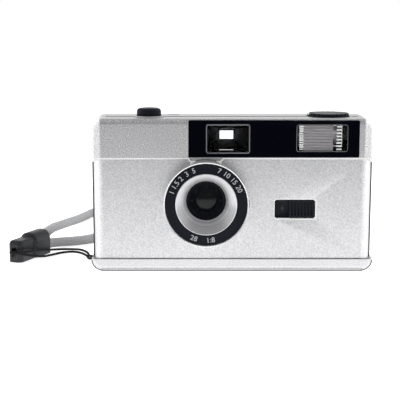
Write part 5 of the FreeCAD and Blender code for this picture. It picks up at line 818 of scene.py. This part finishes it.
def set_on_circle(mesh, middle, across, upward, angle, radius, inward=False):
    """Lay a figure on a circle in the plane of two axes, its head outward or inward."""
    turn = math.radians(angle)
    radial = across * math.cos(turn) + upward * math.sin(turn)
    head = -radial if inward else radial
    facing = across.cross(upward)
    right = head.cross(facing)
    turned = Matrix((right, head, facing)).transposed().to_4x4()
    mesh.transform(Matrix.Translation(middle + radial * radius) @ turned)
    return mesh


# %% Print the lens ring
RING_FRONT = Vector((LENS_AXIS.x, RING_LOW.y, LENS_AXIS.z))
FIGURE_RADIUS = 14.35 * MM
FIGURE_SIZE = 2.9 * MM
UPPER_FIGURES = [("1", 160), ("1.5", 147), ("2", 134), ("3", 122), ("5", 110),
                 ("7", 69), ("10", 56), ("15", 41), ("20", 26)]
LOWER_FIGURES = [("28", 250), ("1:8", 277)]

figures = []
for row, inward in ((UPPER_FIGURES, False), (LOWER_FIGURES, True)):
    for words, angle in row:
        figure = figure_mesh(words, FIGURE_SIZE)
        figures.append(set_on_circle(figure, RING_FRONT, RIGHT, UP, angle, FIGURE_RADIUS, inward))
joined("scale_print", figures, PRINT, "camera")

# %% [markdown]
# Shapes that repeat. The counter's ticks and the flash window's prisms are one small form, many times
# over. Geometry Nodes make such rows from a few numbers: an instance of the form on every point of a
# line or a ring. A tree is run once, and what it makes is kept as a plain mesh, because the export
# drops instances.

# %% Begin, end and run a tree
INT, GEOMETRY, MATERIAL = "NodeSocketInt", "NodeSocketGeometry", "NodeSocketMaterial"


def new_tree(name, inputs):
    return new_group(name, [("Geometry", GEOMETRY), *inputs, ("Finish", MATERIAL)],
                     [("Geometry", GEOMETRY)], "GeometryNodeTree")


def vector_of(tree, *parts):
    made = node_of(tree, "ShaderNodeCombineXYZ")
    for socket, part in zip(made.inputs, parts):
        feed(tree, socket, part)
    return made.outputs[0]


def end_tree(tree, start, end, points, shape, turn):
    """Put the shape on every point, make the copies real and give them the tree's finish."""
    instances = node_of(tree, "GeometryNodeInstanceOnPoints")
    for label, source in (("Points", points), ("Instance", shape), ("Rotation", turn)):
        link(tree, source, instances.inputs[label])
    real = node_of(tree, "GeometryNodeRealizeInstances")
    link(tree, instances.outputs["Instances"], real.inputs["Geometry"])
    painted = node_of(tree, "GeometryNodeSetMaterial")
    link(tree, real.outputs["Geometry"], painted.inputs["Geometry"])
    link(tree, start["Finish"], painted.inputs["Material"])
    link(tree, painted.outputs["Geometry"], end["Geometry"])
    return tree


def grown(name, tree, place, body, slot, **values):
    """Run a tree once, and keep what it makes as a plain mesh on a body."""
    holder = bpy.data.objects.new(name + "_holder", bpy.data.meshes.new(name + "_holder"))
    scene.collection.objects.link(holder)
    maker = holder.modifiers.new("maker", "NODES")
    maker.node_group = tree
    names = {item.name: item.identifier for item in tree.interface.items_tree if item.in_out == "INPUT"}
    for label, value in values.items():
        maker[names[label]] = value
    mesh = baked(holder)
    mesh.transform(Matrix.Translation(place))
    mesh.shade_smooth()
    mesh.set_sharp_from_angle(angle=SMOOTH_ANGLE)
    set_finish(placed(name, mesh, body), values["Finish"])


# %% [markdown]
# The frame counter's dial shows every fourth frame as a figure and each frame as a tick, and turns
# under a small window in the hood. The figures come from a font, the ticks from the tree.

# %% Tree of ticks
def ticks_tree():
    """Small radial bars on a ring in the XY plane."""
    tree, start, end = new_tree("radial_ticks", [
        ("Count", INT), ("Radius", FLOAT), ("Length", FLOAT), ("Width", FLOAT), ("Thick", FLOAT)])
    ring = node_of(tree, "GeometryNodeMeshCircle")
    link(tree, start["Count"], ring.inputs["Vertices"])
    link(tree, start["Radius"], ring.inputs["Radius"])
    bar = node_of(tree, "GeometryNodeMeshCube")
    link(tree, vector_of(tree, start["Length"], start["Width"], start["Thick"]), bar.inputs["Size"])
    turned = node_of(tree, "FunctionNodeAlignRotationToVector", axis="X")
    link(tree, node_of(tree, "GeometryNodeInputPosition").outputs[0], turned.inputs["Vector"])
    return end_tree(tree, start, end, ring.outputs["Mesh"], bar.outputs["Mesh"], turned.outputs[0])


TICKS = ticks_tree()

# %% Print the counter's dial
DIAL_LOW, DIAL_HIGH = (Vector(corner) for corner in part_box("counter_dial"))
DIAL_MIDDLE = (DIAL_LOW + DIAL_HIGH) / 2
DIAL_TOP = Vector((DIAL_MIDDLE.x, DIAL_MIDDLE.y, DIAL_HIGH.z))
FRAMES = 40
FRAMES_PER_FIGURE = 4
DIAL_FIGURE, DIAL_FIGURE_RADIUS = 1.5 * MM, 3.0 * MM

dial_figures = []
for frame_number in range(0, FRAMES, FRAMES_PER_FIGURE):
    angle = 90 - 360 * frame_number / FRAMES
    mesh = figure_mesh(str(frame_number), DIAL_FIGURE)
    dial_figures.append(set_on_circle(mesh, DIAL_TOP, RIGHT, BACK, angle, DIAL_FIGURE_RADIUS))
joined("dial_print", dial_figures, DARK_PRINT, "counter")
grown("dial_ticks", TICKS, DIAL_TOP, "counter", slot_of("counter_dial"), Count=FRAMES, Radius=4.6 * MM,
      Length=0.7 * MM, Width=0.14 * MM, Thick=2 * PRINT_THICK, Finish=DARK_PRINT)

# %% [markdown]
# The flash window. Behind the clear ribbed window sit columns of small prisms, moulded into its back,
# which spread the light. They catch the studio's light as a sparkling column at the left and a ladder
# of bright blocks at the right. All are rows of one rounded bar, so the same tree makes them.

# %% Tree of rounded bars
BAR_SIDES = 12


def random_turn(tree, most, seed):
    """A turn about X, drawn between minus and plus an amount."""
    random = node_of(tree, "FunctionNodeRandomValue", data_type="FLOAT")
    sockets = {socket.name: socket for socket in random.inputs if socket.enabled}
    link(tree, maths(tree, "MULTIPLY", most, -1.0), sockets["Min"])
    link(tree, most, sockets["Max"])
    link(tree, seed, sockets["Seed"])
    drawn = next(socket for socket in random.outputs if socket.enabled)
    return vector_of(tree, drawn)


def bars_tree():
    """Rounded bars along X, stacked up Z at one pitch, each tilted a little at random."""
    tree, start, end = new_tree("rounded_bars", [
        ("Count", INT), ("Pitch", FLOAT), ("Width", FLOAT), ("Bulge", FLOAT), ("Height", FLOAT),
        ("Tilt", FLOAT), ("Seed", INT)])
    line = node_of(tree, "GeometryNodeCurvePrimitiveLine")
    line.inputs["Start"].default_value = (-0.5, 0, 0)
    line.inputs["End"].default_value = (0.5, 0, 0)
    section = node_of(tree, "GeometryNodeCurvePrimitiveCircle")
    section.inputs["Resolution"].default_value = BAR_SIDES
    section.inputs["Radius"].default_value = 0.5
    bar = node_of(tree, "GeometryNodeCurveToMesh")
    bar.inputs["Fill Caps"].default_value = True
    link(tree, line.outputs[0], bar.inputs["Curve"])
    link(tree, section.outputs[0], bar.inputs["Profile Curve"])
    sized = node_of(tree, "GeometryNodeTransform")
    link(tree, bar.outputs[0], sized.inputs["Geometry"])
    link(tree, vector_of(tree, start["Width"], start["Bulge"], start["Height"]), sized.inputs["Scale"])
    row = node_of(tree, "GeometryNodeMeshLine")
    link(tree, start["Count"], row.inputs["Count"])
    link(tree, vector_of(tree, 0.0, 0.0, start["Pitch"]), row.inputs["Offset"])
    turn = random_turn(tree, start["Tilt"], start["Seed"])
    return end_tree(tree, start, end, row.outputs["Mesh"], sized.outputs["Geometry"], turn)


BARS = bars_tree()

# %% Prisms behind the flash window
FLASH_LOW, FLASH_HIGH = (Vector(corner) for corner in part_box("flash_window"))
PRISM_Y = FLASH_HIGH.y + 0.2 * MM
PRISM_INSET = 0.9 * MM
PRISM_BULGE = 0.3 * MM


def prism_column(name, left, right, count, height, tilt, seed, finish):
    """A column between two distances from the window's left end, in millimetres."""
    low = FLASH_LOW.z + PRISM_INSET
    high = FLASH_HIGH.z - PRISM_INSET
    place = Vector((FLASH_LOW.x + (left + right) / 2 * MM, PRISM_Y, low))
    grown(name, BARS, place, "camera", slot_of("flash_window"), Count=count,
          Pitch=(high - low) / (count - 1), Width=(right - left) * MM, Height=height * MM,
          Bulge=PRISM_BULGE, Tilt=tilt, Seed=seed, Finish=finish)


prism_column("left_prisms", 1.3, 2.9, count=11, height=0.75, tilt=0.5, seed=3, finish=PRISM)
prism_column("middle_flutes", 2.95, 14.7, count=9, height=1.02, tilt=0.0, seed=4, finish=FLUTES)
prism_column("right_prisms", 16.1, 18.2, count=8, height=0.72, tilt=0.12, seed=5, finish=PRISM)

# %% [markdown]
# The bright bead. A fine metal bead lines the inside of the black ring, where the cone begins. A torus
# would do for its front, but this one reaches back to the cone. So a small section is carried round
# the lens axis, one copy after another, and faces join each copy to the next.

# %% Bead inside the black ring
BEAD_STEPS = 96
BEAD_FRONT = RING_LOW.y - 0.12 * MM
BEAD_BACK = RING_HIGH.y
BEAD_SECTION = [(11.9 * MM, BEAD_BACK), (11.9 * MM, BEAD_FRONT + 0.1 * MM), (12.0 * MM, BEAD_FRONT),
                (12.15 * MM, BEAD_FRONT), (12.22 * MM, BEAD_FRONT + 0.08 * MM), (12.22 * MM, BEAD_BACK)]


def spun(name, section, middle, steps):
    """A closed section of radius and depth, carried round an axis along Y."""
    mesh = bpy.data.meshes.new(name)
    work = bmesh.new()
    rings = []
    for step in range(steps):
        turn = 2 * math.pi * step / steps
        across, up = math.cos(turn), math.sin(turn)
        rings.append([work.verts.new((middle.x + radius * across, depth, middle.z + radius * up))
                      for radius, depth in section])
    for first, second in zip(rings, rings[1:] + rings[:1]):
        for corners in zip(first, first[1:] + first[:1], second[1:] + second[:1], second):
            work.faces.new(corners)
    bmesh.ops.recalc_face_normals(work, faces=work.faces)
    work.to_mesh(mesh)
    work.free()
    mesh.shade_smooth()
    mesh.set_sharp_from_angle(angle=SMOOTH_ANGLE)
    return mesh


bead = spun("ring_bead", BEAD_SECTION, LENS_AXIS, BEAD_STEPS)
set_finish(placed("ring_bead", bead, "camera"), TRIM)

# %% [markdown]
# Lip and frame. A thin white line runs under the hood and another round the switch, where moulded edges
# catch the light. Each is a painted highlight: a near-white bead, a curve with a round section that follows
# the edge and is kept as a mesh.

# %% Lip and frame
BEAD_SIDES = 3
HOOD_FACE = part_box("top_cover")[0][1]
HOOD_LIP = [(-55.2, 45.9), (-17.6, 45.9), (-16.8, 44.7), (-4.5, 44.7), (-3.7, 45.9), (55.2, 45.9)]
LIP_RADIUS = 0.4 * MM
LIP_STANDS = 0.12 * MM
FRAME_LINE = [(17.6, 21.3), (32.9, 21.3), (33.7, 22.1), (33.7, 28.7), (32.9, 29.5), (17.6, 29.5),
              (16.8, 28.7), (16.8, 22.1)]
FRAME_RADIUS = 0.36 * MM
FRAME_SUNK = 0.1 * MM


def bead_along(name, points, radius, material, closed=False):
    """A round bead along straight runs, made a mesh."""
    data = bpy.data.curves.new(name, "CURVE")
    data.dimensions = "3D"
    data.bevel_depth = radius
    data.bevel_resolution = BEAD_SIDES
    data.use_fill_caps = True
    spline = data.splines.new("POLY")
    spline.points.add(len(points) - 1)
    for point, place in zip(spline.points, points):
        point.co = (*place, 1)
    spline.use_cyclic_u = closed
    curve = bpy.data.objects.new(name, data)
    scene.collection.objects.link(curve)
    mesh = baked(curve)
    mesh.materials.clear()
    return joined(name, [mesh], material, "camera")


lip_line = [(x * MM, HOOD_FACE + LIP_RADIUS - LIP_STANDS, z * MM) for x, z in HOOD_LIP]
frame_line = [(x * MM, PANEL_FACE + FRAME_SUNK, z * MM) for x, z in FRAME_LINE]
# Near-white beads as painted highlight lines.
bead_along("hood_lip_highlight", lip_line, LIP_RADIUS, EDGE_HIGHLIGHT)
bead_along("recess_frame_highlight", frame_line, FRAME_RADIUS, EDGE_HIGHLIGHT, closed=True)

# %% [markdown]
# Painted shade at the seams. A dark line runs where the front panel meets the side walls, a grey one runs at
# the foot and climbs round the base's corners, and a fine one runs across the top, where hood and rear shell
# meet. They are shade: in the grooves at the sides, under the base's foot, and on the step of the top seam.
# A gap between two pieces would have to be cut in the construction. A thin dark bead laid on the line is
# painted shade: it looks the same and cuts nothing.

# %% Side lines of painted shade
PANEL_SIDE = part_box("front_panel")[1][0]
SHADE_OUT = PANEL_SIDE + 0.05 * MM
SHADE_DEPTH = PANEL_FACE + 2.4 * MM
SHADE_ENDS = (5.3 * MM, 44.3 * MM)
SIDE_SHADE_RADIUS = 0.46 * MM

# A dark bead as painted shade in each groove.
for name, side in (("groove_shade_left", -1), ("groove_shade_right", 1)):
    line = [(side * SHADE_OUT, SHADE_DEPTH, height) for height in SHADE_ENDS]
    bead_along(name, line, SIDE_SHADE_RADIUS, PAINTED_GROOVE_SHADE)

# %% Foot line of painted shadow
BASE_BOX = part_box("bottom_cover")
BASE_SIDE = BASE_BOX[1][0]
BASE_ROUND = 4.4 * MM
FOOT_FRONT = BASE_BOX[0][1] + 0.25 * MM
FOOT_HALF = BASE_SIDE - 4.0 * MM
FOOT_RISE = 0.25 * MM
FOOT_RADIUS, ARC_RADIUS = 0.22 * MM, 0.16 * MM
ARC_REACH = BASE_ROUND - 0.12 * MM
ARC_DEPTH = FOOT_FRONT + 0.9 * MM
ARC_STEPS = 8

foot_line = [(x, FOOT_FRONT, FOOT_RISE) for x in (-FOOT_HALF, FOOT_HALF)]
# A grey bead as painted shadow along the front of the foot.
bead_along("foot_shadow_line", foot_line, FOOT_RADIUS, PAINTED_SHADE_LINE)
# The painted shadow climbs round the base's corners.
for name, side in (("foot_arc_left", -1), ("foot_arc_right", 1)):
    arc = []
    for step in range(ARC_STEPS + 1):
        turn = math.radians(90 * step / ARC_STEPS)
        across = BASE_SIDE - BASE_ROUND + ARC_REACH * math.sin(turn)
        arc.append((side * across, ARC_DEPTH, BASE_ROUND - ARC_REACH * math.cos(turn)))
    bead_along(name, arc, ARC_RADIUS, PAINTED_SHADE_LINE)

# %% Painted shade along the seam on top
COVER_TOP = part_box("top_cover")[1][2]
SEAM_Y = HOOD_FACE + 12.2 * MM
SEAM_SUNK = 0.02 * MM
SEAM_RADIUS = 0.2 * MM
SEAM_RUNS = [(-51.5, -40.1), (-27.3, 30.4), (48.9, 51.5)]

# Grey beads as painted shade on the seam's step.
for number, run in enumerate(SEAM_RUNS):
    line = [(x * MM, SEAM_Y, COVER_TOP - SEAM_SUNK) for x in run]
    bead_along(f"painted_shade_line_{number + 1}", line, SEAM_RADIUS, PAINTED_SHADE_LINE)

# %% [markdown]
# The bolt. A faint flash sign is printed on the switch's floor. It is a flat polygon, extruded by the
# thickness of the print.

# %% Flash bolt
BOLT = [(0.35, 1.6), (-0.75, -0.2), (-0.05, -0.2), (-0.35, -1.6), (0.75, 0.3), (0.05, 0.3)]
BOLT_PLACE = Vector((20.3 * MM, PANEL_FACE + 1.29 * MM, 25.4 * MM))


def bolt_mesh():
    mesh = bpy.data.meshes.new("bolt")
    work = bmesh.new()
    face = work.faces.new([work.verts.new((x * MM, 0, z * MM)) for x, z in BOLT])
    grown_out = bmesh.ops.extrude_face_region(work, geom=[face])
    moved = [item for item in grown_out["geom"] if isinstance(item, bmesh.types.BMVert)]
    bmesh.ops.translate(work, verts=moved, vec=(0, -PRINT_THICK, 0))
    bmesh.ops.recalc_face_normals(work, faces=work.faces)
    work.to_mesh(mesh)
    work.free()
    mesh.transform(Matrix.Translation(BOLT_PLACE))
    return mesh


joined("flash_bolt", [bolt_mesh()], FAINT_PRINT, "camera")

# %% [markdown]
# The strap's weave. A woven cord shows small slanted stitches that wind round it both ways. The
# pattern follows the curve's own coordinates, along and around, so it never stretches or slides.

# %% Braid
CORD_ROUGH, SHEEN_ROUGH = 0.85, 0.4
STITCH_SPAN, STITCH_SHADES = (-0.4, 1.0), (0.40, 1.25)
STITCH_RELIEF = 0.8


def braid_material(name, colour, along, around, depth, sheen=0.35):
    """Two sets of slanted waves, and the higher of both is the stitch on top."""
    material, tree, shader = new_material(name)
    shader["Roughness"].default_value = CORD_ROUGH
    shader["Sheen Weight"].default_value = sheen
    shader["Sheen Roughness"].default_value = SHEEN_ROUGH
    place = split_of(tree, "UV")
    run = maths(tree, "MULTIPLY", place["X"], along * 2 * math.pi)
    waves = []
    for sign in (1, -1):
        phase = maths(tree, "MULTIPLY_ADD", place["Y"], sign * around * 2 * math.pi, run)
        waves.append(maths(tree, "SINE", phase))
    weave = maths(tree, "MAXIMUM", *waves)
    shade = ramp_of(tree, weave, *STITCH_SPAN, *STITCH_SHADES, "LINEAR")
    link(tree, scaled(tree, colour, shade), shader["Base Color"])
    link(tree, relief_of(tree, weave, STITCH_RELIEF, depth=depth), shader["Normal"])
    return material


CORD_WEAVE = braid_material("cord_weave", (0.46, 0.46, 0.475), 230, 8, 0.2 * MM)
STRING_BRAID = braid_material("string_braid", (0.004, 0.0045, 0.006), 110, 3, 0.06 * MM, sheen=0.0)
set_finish(grey_cord, CORD_WEAVE)
set_finish(upper_string, STRING_BRAID)
set_finish(lower_string, STRING_BRAID)

# %% [markdown]
# Last, the view layer is brought up to date once more.


def write_sizes():
    bpy.context.view_layer.update()


write_sizes()
